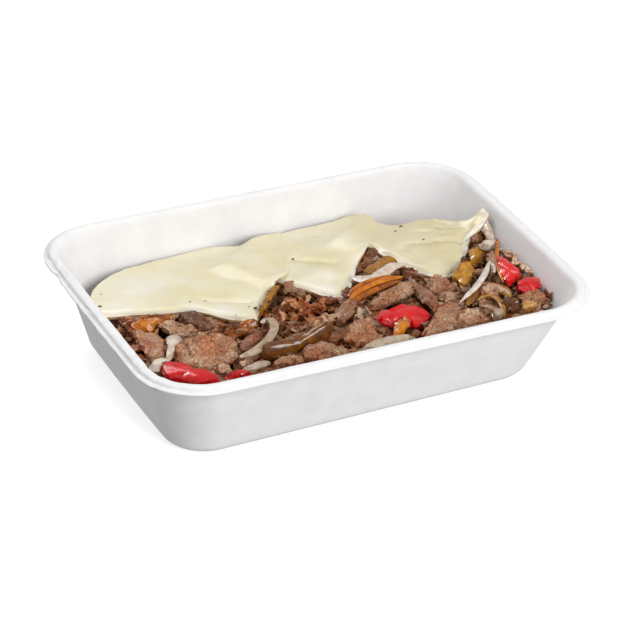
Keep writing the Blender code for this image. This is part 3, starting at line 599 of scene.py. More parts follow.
def bitShape(bit, rng):
    # A torn bit: a small ragged sheet, curled along its length and cupped across it.
    count, rings = bit["count"], bit["rings"]
    bend, cup, seed = bit["bend"], bit["cup"], rng.uniform(0, 300)
    tops = [(0.0, 0.0, 0.0)]
    for ring in range(1, rings + 1):
        share = (ring / rings) ** 0.85
        for number in range(count):
            angle = 2 * math.pi * number / count
            around = Vector((math.cos(angle) * 2.6, math.sin(angle) * 2.6, seed))
            ragged = 1 + bit.get("torn", 0.75) * share * noise.noise(around)
            tops.append((bit["length"] / 2 * math.cos(angle) * share * ragged,
                         bit["width"] / 2 * math.sin(angle) * share * ragged, share))
    places = []
    for x, y, share in tops:
        z = 0.3 * (pebbled(x, y, seed, 1.5) - 0.5) + 0.6 * grain(x, y, seed, 3.2, 2)
        y, z = math.sin(y * cup) / cup * (1 - z * cup), (1 - math.cos(y * cup)) / cup + z
        x, z = math.sin(x * bend) / bend * (1 - z * bend), (1 - math.cos(x * bend)) / bend + z
        places.append(bit["turn"] @ Vector((x, y, z)) + bit["place"])
    return backed(places, count, rings, bit["thick"], 2)


def joinShapes(shapes):
    # shapes are points, faces and a dictionary of per-point numbers each
    points, faces, layers = [], [], {}
    for shapePoints, shapeFaces, shapeLayers in shapes:
        start = len(points)
        points += [keptInside(*point) for point in shapePoints]
        faces += [tuple(n + start for n in face) for face in shapeFaces]
        for key, values in shapeLayers.items():
            layers.setdefault(key, []).extend(values)
    return points, faces, layers


def joinedPiece(name, shapes, material, nodes, slot, creased=None):
    points, faces, layers = joinShapes(shapes)
    print(name, len(shapes), "shapes", len(faces), "faces")
    meshPiece(name, points, faces, material, nodes, slot, layers, creased)


# Peppers and onions: fried soft, so wet and glossy, with creases that break up the highlights.

vegetables = {
    # material name, dark, middle and light colour, roughness, coat, depth of the wrinkles
    "red": ("softRedPepper", "#A20810", "#D00C16", "#DE2A24", 0.22, 0.45, 0.5),
    "orange": ("softOrangePepper", "#6A3204", "#B8640C", "#E08E1C", 0.2, 0.45, 0.4),
    "olive": ("friedGreenPepper", "#5E3A04", "#B0781A", "#DEAC4A", 0.22, 0.6, 0.25),
    "brown": ("brownedPepper", "#3A1A06", "#6C3E18", "#AC741E", 0.18, 0.55, 0.25),
    "onion": ("fryingOnion", "#A08468", "#C8B49E", "#E6DFD9", 0.26, 0.4, 0.3),
    "crust": ("goldenCrust", "#7A3E12", "#B97A34", "#E6C07C", 0.5, 0.2, 0.6)}

pieces = {
    "red_pepper_front": ("red", (
        dict(level=32.4, tilt=(0.0, 0.12), crown=0.9, droop=0.9, lump=0.9, lumpSize=8.0, bend=0.12, tone=0.45,
             outline=((-93.1, -31.1), (-90.5, -29.5), (-85.8, -31.5), (-82.8, -34.9), (-81.1, -40.6), (-76.9, -43.5),
             (-74, -47.3), (-72.7, -52.3), (-72.9, -55.1), (-76.3, -55), (-81.4, -52.9), (-86.9, -49.5),
             (-91.9, -44.8), (-94.2, -38.4))),)),
    "red_pepper_small": ("red", (
        dict(level=31.2, tilt=(0.0, 0.15), crown=0.6, droop=0.7, lump=0.9, lumpSize=4.0, tone=0.4,
             outline=((-69.4, -51.7), (-68, -49.4), (-63.2, -48.7), (-59.5, -49.5), (-56.5, -51.9), (-55.9, -54.1),
             (-60.2, -55), (-65.2, -55))),)),
    "red_pepper_middle": ("red", (
        dict(level=33.2, tilt=(0.0, 0.16), crown=0.9, droop=0.9, lump=1.2, lumpSize=6.5, bend=0.12, sharp=0.8,
             tone=0.6, outline=((16.9, -32.1), (21.7, -29.9), (27.2, -29.5), (31.5, -28.5), (36.4, -30.8),
             (38.6, -34.1), (40.1, -38.5), (40.5, -44.6), (38.4, -48), (34.1, -50.5), (30.2, -51), (28.7, -47.9),
             (27.3, -44.4), (24.3, -43), (19.2, -44.2), (16.7, -40.2), (16, -35.4))),)),
    "red_pepper_right": ("red", (
        dict(level=36.0, tilt=(0.1, 0.08), crown=0.7, droop=0.9, lump=0.9, tone=0.85, outline=((93.4, -9.8),
             (94.3, -15.7), (95.4, -22.5), (95.8, -29), (93.6, -32.5), (88.1, -36.1), (85, -37.7), (85.1, -33.1),
             (87, -26.4), (89.8, -18.3))),
        dict(level=34.5, tilt=(0.0, 0.15), crown=0.7, droop=0.7, lump=1.1, lumpSize=5.0, sharp=0.8, tone=0.45,
             outline=((88.7, -38), (93.2, -34), (98.3, -33.3), (100.1, -35.7), (102.6, -36.9), (99.9, -43.2),
             (94.1, -46.7), (90.4, -46.4), (88, -42.3))))),
    "orange_pepper_left": ("orange", (
        dict(level=29.6, tilt=(0.0, 0.1), crown=0.1, droop=0.2, lump=0.9, sharp=0.9, tone=0.2, outline=((-92.9, 21.6),
             (-84.1, 19.6), (-74.3, 16.4), (-67.2, 12.5), (-69.7, 8), (-74.3, 9.3), (-81.9, 12.3), (-88.8, 13),
             (-92.9, 15.4))),
        dict(level=31.4, tilt=(0.0, 0.2), crown=0.1, droop=0.2, lump=0.6, sharp=0.95, bend=0.1, tone=0.6,
             outline=((-90.6, 11.4), (-88.4, 14.1), (-81.6, 12.8), (-76.3, 11.4), (-73.3, 7.1), (-76.2, 4.7),
             (-80.8, 2.5), (-85.3, -1.5), (-86.3, 1.4), (-89.2, 4.9))))),
    "yellow_pepper_left": ("orange", (
        dict(level=31.0, tilt=(-0.02, 0.25), crown=0.1, droop=0.2, lump=0.6, sharp=0.9, bend=0.2, tone=0.25,
             outline=((-54.4, -13.5), (-51.9, -11.3), (-46.5, -9.5), (-39.8, -8), (-34.4, -8.5), (-35.7, -13.8),
             (-43.8, -18.5), (-51.1, -21.9), (-54, -18.4))),)),
    "orange_pepper_strip": ("orange", (
        dict(wide=3.0, thick=1.8, taper=0.25, roll=-20, lump=0.25, tone=0.2, route=((12, -15.8, 32.2),
             (18.5, -12.6, 32.8), (26.5, -10.4, 33.2), (35, -8.8, 33.4), (42, -7.4, 33))),
        dict(wide=2.8, thick=1.8, taper=0.25, roll=-20, lump=0.25, tone=0.55, route=((11.5, -13.8, 32.8),
             (17.5, -9.8, 33.8), (25.5, -7.2, 34.4), (34.5, -5.6, 34.6), (44.4, -5.2, 34))),
        dict(wide=2.2, thick=1.6, taper=0.25, roll=-20, lump=0.25, tone=0.3, route=((13, -10, 32.8), (18, -6.2, 33.8),
             (25, -3.8, 34.4), (34, -2.8, 34.6), (41, -3, 34))))),
    "orange_pepper_bit": ("orange", (
        dict(level=34.8, tilt=(0.0, 0.25), crown=0.3, droop=0.3, lump=0.9, lumpSize=5.0, sharp=0.9, bend=0.2,
             tone=0.65, outline=((17.4, -50.1), (20.7, -45.8), (24.3, -44.5), (27.9, -41.7), (28.2, -44.9),
             (25.6, -49.5), (20.8, -54.6), (16.7, -56.9), (14.3, -55.8))),)),
    "orange_pepper_wall": ("orange", (
        dict(wide=1.8, thick=1.8, taper=0.25, roll=0, tone=0.5, route=((100.1, 1.3, 38.8), (94.8, -7.2, 38.2),
             (91.2, -14.3, 37.6), (87, -24, 36.8), (84.6, -33, 35.4))),)),
    "olive_pepper_upper": ("olive", (
        dict(level=33.8, tilt=(0.0, 0.1), crown=0.2, droop=0.3, lump=0.6, lumpSize=7.0, bend=0.32, sharp=0.9,
             thick=1.8, tone=0.5, outline=((84.2, 1.6), (85.4, 5), (88.6, 6.8), (91.6, 5.4), (92.2, 1.6),
             (91.5, -1.8), (88.4, -6.4), (85.6, -9.6), (82.4, -11.7), (80.2, -9.3), (80.6, -6.2), (82.2, -3))),)),
    "olive_pepper_lower": ("olive", (
        dict(level=33.2, tilt=(0.0, 0.12), crown=0.2, droop=0.3, lump=0.6, lumpSize=7.0, bend=0.32, sharp=0.9,
             thick=1.8, tone=0.6, outline=((67.6, -12.2), (70.4, -9.6), (72.6, -7.9), (75.4, -4.6), (78.2, -3.2),
             (81.4, -4.4), (80.2, -8.6), (79.9, -12), (76.8, -16), (75.6, -18.6), (72.4, -22.4), (69.4, -26),
             (66, -27.2), (65.6, -23.5), (67.4, -20.6), (65.8, -16.4))),)),
    "brown_pepper_long": ("brown", (
        dict(level=32.6, tilt=(0.0, 0.55), crown=1.6, droop=0.6, lump=0.35, lumpSize=9.0, tone=0.5,
             outline=((-44.2, -34.5), (-36.8, -35.9), (-28.6, -34), (-19.4, -33.2), (-12.3, -30.7), (-5.5, -27.2),
             (-3.1, -26.9), (-5.3, -32.3), (-10.3, -39.1), (-18.4, -43.7), (-24.9, -45), (-31.8, -47.5),
             (-37.6, -50.4), (-41.9, -50.5), (-45.8, -48), (-48.4, -44), (-46.9, -39))),
        dict(wide=3.0, thick=1.3, taper=0.2, roll=25, lump=0.1, tone=1.1, route=((-46.2, -38.4, 34.4),
             (-37, -38.6, 35.2), (-28.5, -36.4, 35.2), (-19.5, -35.6, 35.2), (-10.5, -32.4, 35.2),
             (-3.6, -29.4, 34.6))))),
    "brown_pepper_gap": ("brown", (
        dict(level=31.0, tilt=(-0.1, 0.1), crown=0.3, lump=0.5, sharp=0.9, tone=0.9, outline=((-33.1, -7),
             (-29.2, -0.7), (-23.4, 7.1), (-18.2, 13.8), (-14, 16.4), (-10.2, 16.8), (-15.8, 10.2), (-21.2, 4.2),
             (-26.4, -1.5))),)),
    "brown_pepper_glossy": ("brown", (
        dict(level=33.0, tilt=(0.0, 0.1), crown=0.3, lump=1.1, lumpSize=5.0, bend=0.2, sharp=0.8, tone=0.9,
             outline=((28.6, 6.4), (32.6, 9.9), (40.1, 14.2), (46.7, 16.7), (49.6, 13), (49.3, 9.9), (45.2, 8.8),
             (38.9, 5.4), (33.6, 0.9), (30.2, 3.2))),)),
    "brown_pepper_arc": ("brown", (
        dict(wide=5.4, thick=1.6, taper=0.3, roll=-25, tone=0.7, route=((61.3, -40.2, 32.4), (69.6, -33.6, 33.4),
             (77.7, -32.5, 34), (82.4, -37.9, 34), (83.4, -43.2, 33))),
        dict(wide=2.6, thick=1.8, taper=0.3, roll=0, tone=0.8, route=((66.9, -39.7, 33), (72.4, -38.6, 34),
             (75.6, -42.7, 34), (75.5, -50, 33), (72.5, -57, 32))))),
    "brown_pepper_right": ("brown", (
        dict(level=32.8, tilt=(0.0, 0.3), crown=0.2, droop=0.2, lump=0.6, bend=0.3, sharp=0.95, tone=0.45,
             outline=((77.1, -45.3), (83.5, -42.2), (85.3, -44.6), (84.5, -51.5), (82.5, -57.5), (75.5, -58.5),
             (74.6, -53.1))),)),
    "onion_tall": ("onion", (
        dict(level=35.4, tilt=(0.0, 0.06), crown=0.5, droop=0.4, lump=0.4, sharp=0.3, thick=1.4, tone=0.6,
             outline=((-83, -13.8), (-81.1, -11.7), (-77.8, -11.6), (-76, -14.1), (-76.3, -18.3), (-78, -19.7),
             (-80.3, -20.4), (-82.6, -23.6), (-84.9, -27.9), (-87.3, -31), (-90.1, -32.5), (-90.5, -30.9),
             (-87.9, -26.5), (-85, -20.8), (-84.1, -17.7))),)),
    "onion_flat_left": ("onion", (
        dict(level=33.4, tilt=(0.0, 0.0), crown=0.5, droop=0.4, lump=0.4, tone=0.7, outline=((-98, -29.9),
             (-94.7, -27.9), (-90.9, -27.5), (-88.4, -27.3), (-87.1, -28.6), (-91.5, -30.7), (-93.9, -32.5),
             (-95.1, -35.3), (-97.9, -34), (-98.7, -31.6))),)),
    "onion_hook": ("onion", (
        dict(wide=4.2, thick=1.8, taper=0.2, end=0.5, roll=-12, tone=0.12, route=((-56.7, -39.8, 33),
             (-50.6, -39.2, 33.6), (-44.3, -36.3, 33.8), (-37.5, -31, 34.2), (-32.4, -24.6, 34.4),
             (-30.3, -18.3, 34.2), (-31.5, -14.3, 33.6), (-34.8, -15, 32.6))),)),
    "onion_front": ("onion", (
        dict(level=32.6, tilt=(0.0, 0.2), crown=0.0, lump=0.5, bend=0.2, sharp=0.95, thick=0.9, tone=0.35,
             outline=((-60.5, -49.6), (-56.6, -47.5), (-51.3, -46), (-47.4, -46.3), (-45.3, -48.3), (-45.8, -50.6),
             (-51, -52.1), (-56.4, -52.9), (-60.5, -52))),)),
    "onion_rim": ("onion", (
        dict(level=32.4, tilt=(0.0, 0.15), crown=0.4, droop=0.4, lump=0.3, tone=0.4, outline=((-4.2, -56.7),
             (0.9, -54.6), (7.8, -53.3), (15.1, -53.2), (21.5, -54.1), (25.5, -56.5), (23.9, -58.7), (17.6, -58.8),
             (9.2, -58.9), (0.8, -59.1))),)),
    "onion_arc": ("onion", (
        dict(wide=3.4, thick=2.0, taper=0.45, end=0.12, roll=15, tone=0.7, route=((58.2, -38.8, 34),
             (63, -36.6, 35.2), (68.4, -33.6, 36), (74.2, -28.8, 36.4), (80.4, -22.6, 36.6), (84.6, -17.2, 36.8),
             (87.8, -13.4, 36.8))),
        dict(wide=1.8, thick=1.4, taper=0.4, roll=0, tone=0.6, route=((86.6, -14.4, 36.6), (87.2, -17.4, 36.4),
             (86, -21.6, 35.8), (84.8, -23, 35.4))))),
    "onion_wedge": ("onion", (
        dict(wide=6.0, thick=1.2, taper=0.3, end=0.3, roll=-12, tone=0.55, route=((23.4, 6.4, 32.6),
             (26.4, 1.6, 33.4), (31.2, -0.6, 34), (37.6, 1.8, 34.4), (44, 5, 34.6), (50, 5.6, 34))),)),
    "onion_wall": ("onion", (
        dict(level=39.4, tilt=(0.2, 0.05), crown=0.0, lump=0.5, bend=0.15, sharp=0.8, thick=0.7, tone=0.5,
             outline=((98.4, 15), (101.5, 18.6), (103.2, 19.6), (101.8, 12), (99.6, 6), (97.6, 1.4), (94.6, 2.6),
             (95.6, 8))),)),
    "onion_right": ("onion", (
        dict(level=37.0, tilt=(0.0, 0.1), crown=0.4, droop=0.4, lump=0.6, tone=0.55, outline=((90.1, 3.2),
             (94.2, 3.6), (100.3, 1.6), (96.9, -3.2), (92.2, -3.3), (89.6, -0.6))),))}

# small pieces that lie on the others, too small for nodes of their own
extras = {
    "onionBits": ("onion", (
        dict(level=32.2, tilt=(0, 0.2), crown=0.8, droop=0.6, lump=0.5, tone=0.15, outline=((68.5, -51.5),
             (71.7, -50), (74.7, -53), (73, -57), (66.6, -57.8))),)),
    "crustBits": ("crust", (
        dict(level=33.4, tilt=(0, 0.2), crown=0.4, droop=0.5, lump=1.8, lumpSize=2.6, torn=1.2, sharp=0.9, tone=0.7,
             outline=((83.9, -52.2), (87.3, -52.3), (91, -56), (90.4, -58.6), (86.6, -59.6), (83, -58))),))}


# Beef: shaved, fried and moist, so brown with a coarse grain, torn edges and small wet glints.

beef = {"shadow": "#26120A", "dark": "#56301A", "mid": "#8C5D3B", "pale": "#B48F70", "bright": "#DCC8AE",
        "crisp": "#8A4E2C", "warm": "#F4B47C", "grain": 1.05, "seed": 5, "cell": 0.68, "crease": 50,
        # how far below the heap's top the painted shade in the gaps starts and ends, how dark it gets, and the top in
        # the low corner
        "gapFrom": 1.4, "gapTo": 5.0, "gapShade": 0.92, "cornerTop": 4.6,
        # where it has taken colour in the pan, and where it has fallen apart: least x, most x, least y
        "browned": (-9, -8), "patch": (-31, 14, -27),
        "shreds": ((96.5, -6, 37.4), (99, -9.5, 37.2), (97.5, -13, 37.4), (100.4, -15, 36.8), (98.6, -18.5, 37),
                   (101, -21.5, 36.4), (99.4, -25, 36.6), (97.6, -21, 37.2), (100.8, -28.5, 36), (96, -2.5, 37.2)),
        # level of the top, slope along x and y, tone from dark to pale, outline in plan
        "slices": (
            (33.0, (0.1, 0.1), 0.75, ((-93, 4), (-89, 3), (-86, -2), (-83, -6), (-82, -12), (-86, -21), (-90, -25),
             (-95, -27), (-95, -18), (-95, -9))),
            (33.5, (0.0, 0.15), 0.8, ((-80, 3), (-76, 5), (-73, 3), (-71, -2), (-66, -3), (-66, -9), (-68, -14),
             (-73, -16), (-76, -12), (-79, -7))),
            (34.0, (0.0, 0.22), 0.78, ((-81, -20), (-77, -17), (-71, -15), (-64, -16), (-57, -17), (-54, -23),
             (-54, -31), (-58, -40), (-63, -44), (-72, -46), (-79, -43), (-84, -39), (-86, -33))),
            (31.0, (0.0, 0.2), 0.25, ((-68, 10), (-60, 12), (-56, 8), (-55, -1), (-55, -9), (-61, -10), (-64, -5),
             (-67, 2))),
            (31.0, (0.0, 0.1), 0.5, ((-53, -31), (-46, -23), (-40, -21), (-35, -20), (-40, -27), (-48, -33),
             (-52, -35))),
            (32.0, (0.1, 0.15), 0.75, ((-46, -51), (-39, -47), (-34, -46), (-29, -50), (-33, -55), (-40, -57),
             (-46, -56))),
            (32.5, (0.0, 0.25), 0.65, ((-27, -44), (-22, -42), (-16, -43), (-12, -48), (-9, -54), (-7, -59),
             (-12, -60), (-20, -59), (-25, -58), (-30, -54))),
            (33.5, (0.05, 0.28), 0.72, ((-2, -39), (3, -34), (8, -32), (12, -33), (13, -38), (11, -46), (10, -55),
             (6, -57), (0, -57), (-4, -53), (-5, -47))),
            (32.0, (0, 0.2), 0.6, ((1, -22), (10, -13), (15, -10), (15, -18), (9, -23), (2, -29), (-2, -30))),
            (34.0, (-0.1, 0.2), 0.72, ((28, -58), (35, -52), (42, -45), (47, -38), (52, -35), (56, -39), (56, -46),
             (51, -54), (46, -60), (40, -62), (31, -63))),
            (33.0, (0.0, 0.15), 0.85, ((55, -46), (60, -44), (63, -46), (64, -53), (63, -59), (56, -61), (50, -61),
             (49, -55))),
            (34.0, (0.0, 0.1), 0.55, ((42, -11), (45.5, -13), (48, -18), (49, -26), (48.5, -35), (45.5, -43),
             (43, -42), (43.5, -34), (43, -25), (42, -17), (40, -13))),
            (33.0, (0.05, 0.2), 0.7, ((21, -19), (28, -15), (37, -12), (44, -8), (47, -12), (43, -19), (37, -22),
             (29, -24), (22, -27), (16, -24))),
            (32.0, (0, 0.25), 0.7, ((55, -9), (60, -9), (64, -14), (64, -19), (58, -22), (53, -22), (52, -16))),
            (29.5, (0, 0.2), 0.4, ((36, 24), (43, 32), (47, 32), (47, 24), (42, 17), (36, 16))),
            (34.0, (0, 0.3), 0.45, ((90, 14), (97, 21), (100, 18), (97, 11), (91, 8))),
            (35.0, (0.1, 0.1), 0.7, ((90, -5), (95, -2), (94, -14), (88, -26), (85, -33), (82, -32), (84, -21))),
            (34.0, (0.15, 0.1), 0.7, ((99, -3), (102, -7), (102, -16), (102, -23), (97, -27), (96, -18))),
            (33.0, (0, 0.2), 0.7, ((87, -44), (93, -42), (98, -43), (98, -50), (95, -57), (89, -58), (84, -56))),
            (34.0, (0, 0.2), 0.8, ((73, -33), (80, -30), (82, -35), (77, -40), (72, -41))),
            (30.5, (0.1, 0.2), 0.5, ((13, -39), (20, -39), (20, -48), (17, -53), (12, -54))),
            (30.5, (0, 0.2), 0.5, ((25, -49), (31, -48), (32, -53), (27, -57), (22, -56))),
            (32.0, (0, 0.2), 0.85, ((-71, -41), (-66, -40), (-63, -44), (-66, -50), (-71, -48))),
            (31.0, (0, 0.2), 0.6, ((-43, -35), (-39, -39), (-33, -39), (-27, -42), (-31, -46), (-38, -44),
             (-44, -41))),
        )}


def beefMaterial():
    made, tree, shader = newMaterial("friedShavedBeef", beef["mid"], 0.4,
                                     {"Subsurface Weight": 0.1, "Subsurface Radius": (1.0, 0.4, 0.25),
                                      "Subsurface Scale": 0.8 * mm, "IOR": 1.42, "Coat Weight": 0.3,
                                      "Coat Roughness": 0.16})
    coords = objectCoords(tree)
    layer = {key: layerValue(tree, key) for key in ("tone", "warm", "edge", "deep")}
    patch = noiseValue(tree, coords, 170, 3, 0.6)
    fleck = noiseValue(tree, coords, 1 / (beef["grain"] * mm), 3, 0.7)
    cells = addNode(tree, "TexVoronoi", {"Scale": 1 / (beef["grain"] * mm)}, {"Vector": coords})
    # the grain's crowns are pale and the grooves between them brown: partly the meat's own grain, partly painted light
    # on the crowns and painted shade in the grooves
    total = maths(tree, "MULTIPLY_ADD", patch, 0.6, layer["tone"])
    total = maths(tree, "MULTIPLY_ADD", fleck, 1.3, total)
    total = maths(tree, "MULTIPLY_ADD", cells.outputs["Distance"], -0.35, total)
    total = maths(tree, "SUBTRACT", total, 0.8)
    colour = ramp(tree, total, ((0.0, beef["dark"]), (0.38, beef["mid"]), (0.72, beef["pale"]), (1.0, beef["bright"])))
    colour = mixColour(tree, layer["warm"], colour, mixColour(tree, 1.0, colour, beef["warm"], "MULTIPLY"))
    rim = ramp(tree, layer["edge"], ((0.86, 0.0), (1.0, 0.35)))
    colour = mixColour(tree, rim, colour, beef["crisp"])
    # painted shade: what lies deep in the gaps is mixed towards the shadow colour
    tree.links.new(mixColour(tree, layer["deep"], colour, beef["shadow"]), shader.inputs["Base Color"])
    bumped(tree, shader, maths(tree, "MULTIPLY_ADD", cells.outputs["Distance"], -0.7, fleck), 0.55, 0.75)
    tree.links.new(ramp(tree, patch, ((0.35, 0.34), (0.65, 0.62))), shader.inputs["Roughness"])
    # what lies deep in the gaps has no gloss
    tree.links.new(ramp(tree, layer["deep"], ((0.0, 0.16), (0.5, 0.0))), shader.inputs["Coat Weight"])
    tree.links.new(ramp(tree, layer["deep"], ((0.0, 0.38), (0.6, 0.05))), shader.inputs["Specular IOR Level"])
    return made


def beefLayers(points, shares, tone):
    # deep marks what lies in the gaps, for the painted shade there, and warm what has taken the most colour in the pan
    layers = {"tone": [], "warm": [], "edge": shares, "deep": []}
    brownX, brownY = beef["browned"]
    for x, y, z in points:
        top, behind = heapLevel(x, y), smooth(0, 5, y - lineAt(heap["back"], x))
        top += (coreLevel(x, y) + beef["cornerTop"] - top) * behind
        layers["deep"].append(beef["gapShade"] * smooth(beef["gapFrom"], beef["gapTo"], top + 0.8 - z))
        browned = 0.6 * smooth(22, 4, math.hypot((x - brownX) / 1.3, y - brownY)) + 0.35 * smooth(-78, -92, x)
        layers["warm"].append(min(1.0, max(0.0, 0.35 + browned + 0.7 * grain(x, y, z, 9, 2))))
        layers["tone"].append(tone + 0.12 * grain(x, y, z, 5, 2))
    return layers


def buildBeef(material):
    rng = random.Random(beef["seed"])
    shapes = []
    for level, tilt, tone, outline in beef["slices"]:
        sheet = {"outline": outline, "level": level, "tilt": tilt, "thick": rng.uniform(1.6, 2.2),
                 "crown": rng.uniform(0.0, 0.4), "droop": rng.uniform(0.3, 0.9), "frill": 2.2, "torn": 1.4,
                 "lump": 0.8, "lumpSize": 8.0, "fold": 0.7, "foldSize": 14.0, "bend": 0.2, "pebble": 0.13,
                 "sharp": 0.75, "cell": beef["cell"]}
        points, faces, shares = sheetShape(sheet, rng)
        shapes.append((points, faces, beefLayers(points, shares, tone - 0.08)))
    joinedPiece("beefSlices", shapes, material, ["beef_heap"], "beef", beef["crease"])


def buildShavings(material):
    # smaller slices that show between the large ones, a little lower and tilted every way
    rng = random.Random(beef["seed"] + 40)
    shapes = []
    for x, y in scattered(rng, 8.2):
        if crumbly(x, y):
            continue
        under = any(inOutline(part["outline"], x, y) for _, parts in pieces.values()
                    for part in parts if "outline" in part)
        radius, stretch, turn = rng.uniform(5.0, 9.0), rng.uniform(1.0, 1.7), rng.uniform(0, math.pi)
        outline = []
        for corner in range(8):
            angle = math.tau * corner / 8
            reach = radius * rng.uniform(0.65, 1.15)
            alongX, acrossY = reach * math.cos(angle) * stretch ** 0.5, reach * math.sin(angle) / stretch ** 0.5
            outline.append((x + alongX * math.cos(turn) - acrossY * math.sin(turn),
                            y + alongX * math.sin(turn) + acrossY * math.cos(turn)))
        if any(abs(px) > 102 or py < -71 or py > lineAt(heap["front"], px) + 6 for px, py in outline):
            continue
        level = heapLevel(x, y) - (3.6 if under else rng.uniform(0.6, 2.4))
        sheet = {"outline": outline, "level": level, "tilt": (rng.uniform(-0.3, 0.3), rng.uniform(-0.1, 0.4)),
                 "thick": rng.uniform(1.3, 2.0), "crown": 0.2, "droop": rng.uniform(0.2, 0.8), "frill": 1.8,
                 "torn": 2.2, "lump": 0.7, "lumpSize": 8.0, "fold": 0.6, "foldSize": 12.0, "bend": 0.25,
                 "pebble": 0.15, "sharp": 0.85, "cell": 0.9}
        points, faces, shares = sheetShape(sheet, rng)
        shapes.append((points, faces, beefLayers(points, shares, rng.uniform(0.3, 0.8))))
    joinedPiece("beefShavings", shapes, material, ["beef_heap"], "beef", beef["crease"])


def inOutline(outline, x, y):
    inside = False
    for (x0, y0), (x1, y1) in zip(outline, outline[1:] + outline[:1]):
        if (y0 > y) != (y1 > y) and x < x0 + (y - y0) * (x1 - x0) / (y1 - y0):
            inside = not inside
    return inside


def crumbly(x, y):
    # the patch before the cheese where the meat has fallen apart, and the low corner behind it
    leastX, mostX, leastY = beef["patch"]
    return leastX < x < mostX and y > leastY or inCorner(x, y)


def inCorner(x, y):
    # the low corner behind the cheese, clear of the wall
    moved = math.dist(keptInside(x, y, heap["floor"], 5.5)[:2], (x, y))
    return x > 50 and y > lineAt(heap["back"], x) + 1 and moved < 0.01


def scattered(rng, step):
    # jittered places on the open heap and in the low corner, clear of the tray's wall
    halfLength, halfWidth, radius, clear = [heap[key] for key in ("halfLength", "halfWidth", "round", "clear")]
    y = -68.0
    while y < 72:
        x = -98.0
        while x < 101:
            placeX, placeY = x + rng.uniform(-0.5, 0.5) * step, y + rng.uniform(-0.5, 0.5) * step
            x += step
            spareX, spareY = halfLength - abs(placeX), halfWidth - abs(placeY)
            tight = min(spareX, spareY) <= clear or (
                max(spareX, spareY) < radius and math.hypot(radius - spareX, radius - spareY) > radius - clear)
            isOpen = placeY < lineAt(heap["front"], placeX) + 2.5 and not tight
            if isOpen or inCorner(placeX, placeY):
                yield placeX, placeY
        y += step


def buildBits(name, material, inPatch, step, sizes, lifts, share):
    rng = random.Random(beef["seed"] + len(name))
    shapes = []
    for x, y in scattered(rng, step):
        if crumbly(x, y) != inPatch:
            continue
        if any(inOutline(outline, x, y) for *_, outline in beef["slices"]) and rng.random() > share:
            continue
        size = rng.uniform(*sizes)
        # under the cheese's edges the bits lie low and flat
        behind = smooth(0, 5, y - lineAt(heap["back"], x)) * inCorner(x, y)
        free = max(smooth(0, 6, lineAt(heap["front"], x) - y), behind)
        lift = rng.uniform(*lifts) * (0.35 + 0.65 * free)
        lean = 0.3 + 0.7 * free
        turn = (Matrix.Rotation(rng.uniform(0, math.tau), 3, "Z")
                @ Matrix.Rotation(rng.uniform(-0.9, 0.9) * lean, 3, "X")
                @ Matrix.Rotation(rng.uniform(-0.7, 0.7) * lean, 3, "Y"))
        bit = {"place": Vector((x, y, coreLevel(x, y) + lift)), "length": size, "width": size * rng.uniform(0.4, 0.75),
               "thick": rng.uniform(0.9, 1.6), "bend": rng.choice((-1, -1, 1)) * rng.uniform(0.1, 0.3) * lean,
               "cup": rng.choice((-1, 1)) * rng.uniform(0.05, 0.3), "turn": turn, "count": 20, "rings": 6}
        points, faces, shares = bitShape(bit, rng)
        # painted shade and light: bits lying low are darker, bits lifted high are paler
        tone = rng.uniform(0.05, 0.68) + 0.08 * lift
        shapes.append((points, faces, beefLayers(points, shares, tone)))
    joinedPiece(name, shapes, material, ["beef_heap"], "beef", beef["crease"])


def buildShreds(material):
    # thin pale shreds that stand up between the pepper and the end wall
    rng = random.Random(beef["seed"] + 70)
    shapes = []
    for x, y, z in beef["shreds"]:
        turn = Matrix.Rotation(rng.uniform(0, math.tau), 3, "Z") @ Matrix.Rotation(rng.uniform(0.2, 0.9), 3, "X")
        bit = {"place": Vector((x, y, z)), "length": rng.uniform(3.5, 5.5), "width": rng.uniform(2.2, 3.4),
               "thick": 0.8, "bend": rng.uniform(0.2, 0.4), "cup": 0.2, "torn": 0.3, "turn": turn, "count": 14,
               "rings": 5}
        points, faces, shares = bitShape(bit, rng)
        layers = beefLayers(points, shares, 1.0)
        layers["deep"] = [0.0] * len(points)
        shapes.append((points, faces, layers))
    joinedPiece("beefShreds", shapes, material, ["beef_heap"], "beef")


beefLook = beefMaterial()
buildCore(beefLook)
buildBeef(beefLook)
buildShavings(beefLook)
buildBits("beefBits", beefLook, False, 4.6, (4.0, 9.0), (1.5, 5.2), 0.2)
buildBits("beefCrumbs", beefLook, True, 3.7, (6.0, 12.0), (1.4, 5.6), 1.0)
buildShreds(beefLook)
print("beef built")


# Cheese: melted slices, soft and smooth, whiter where the edge hangs over the meat.

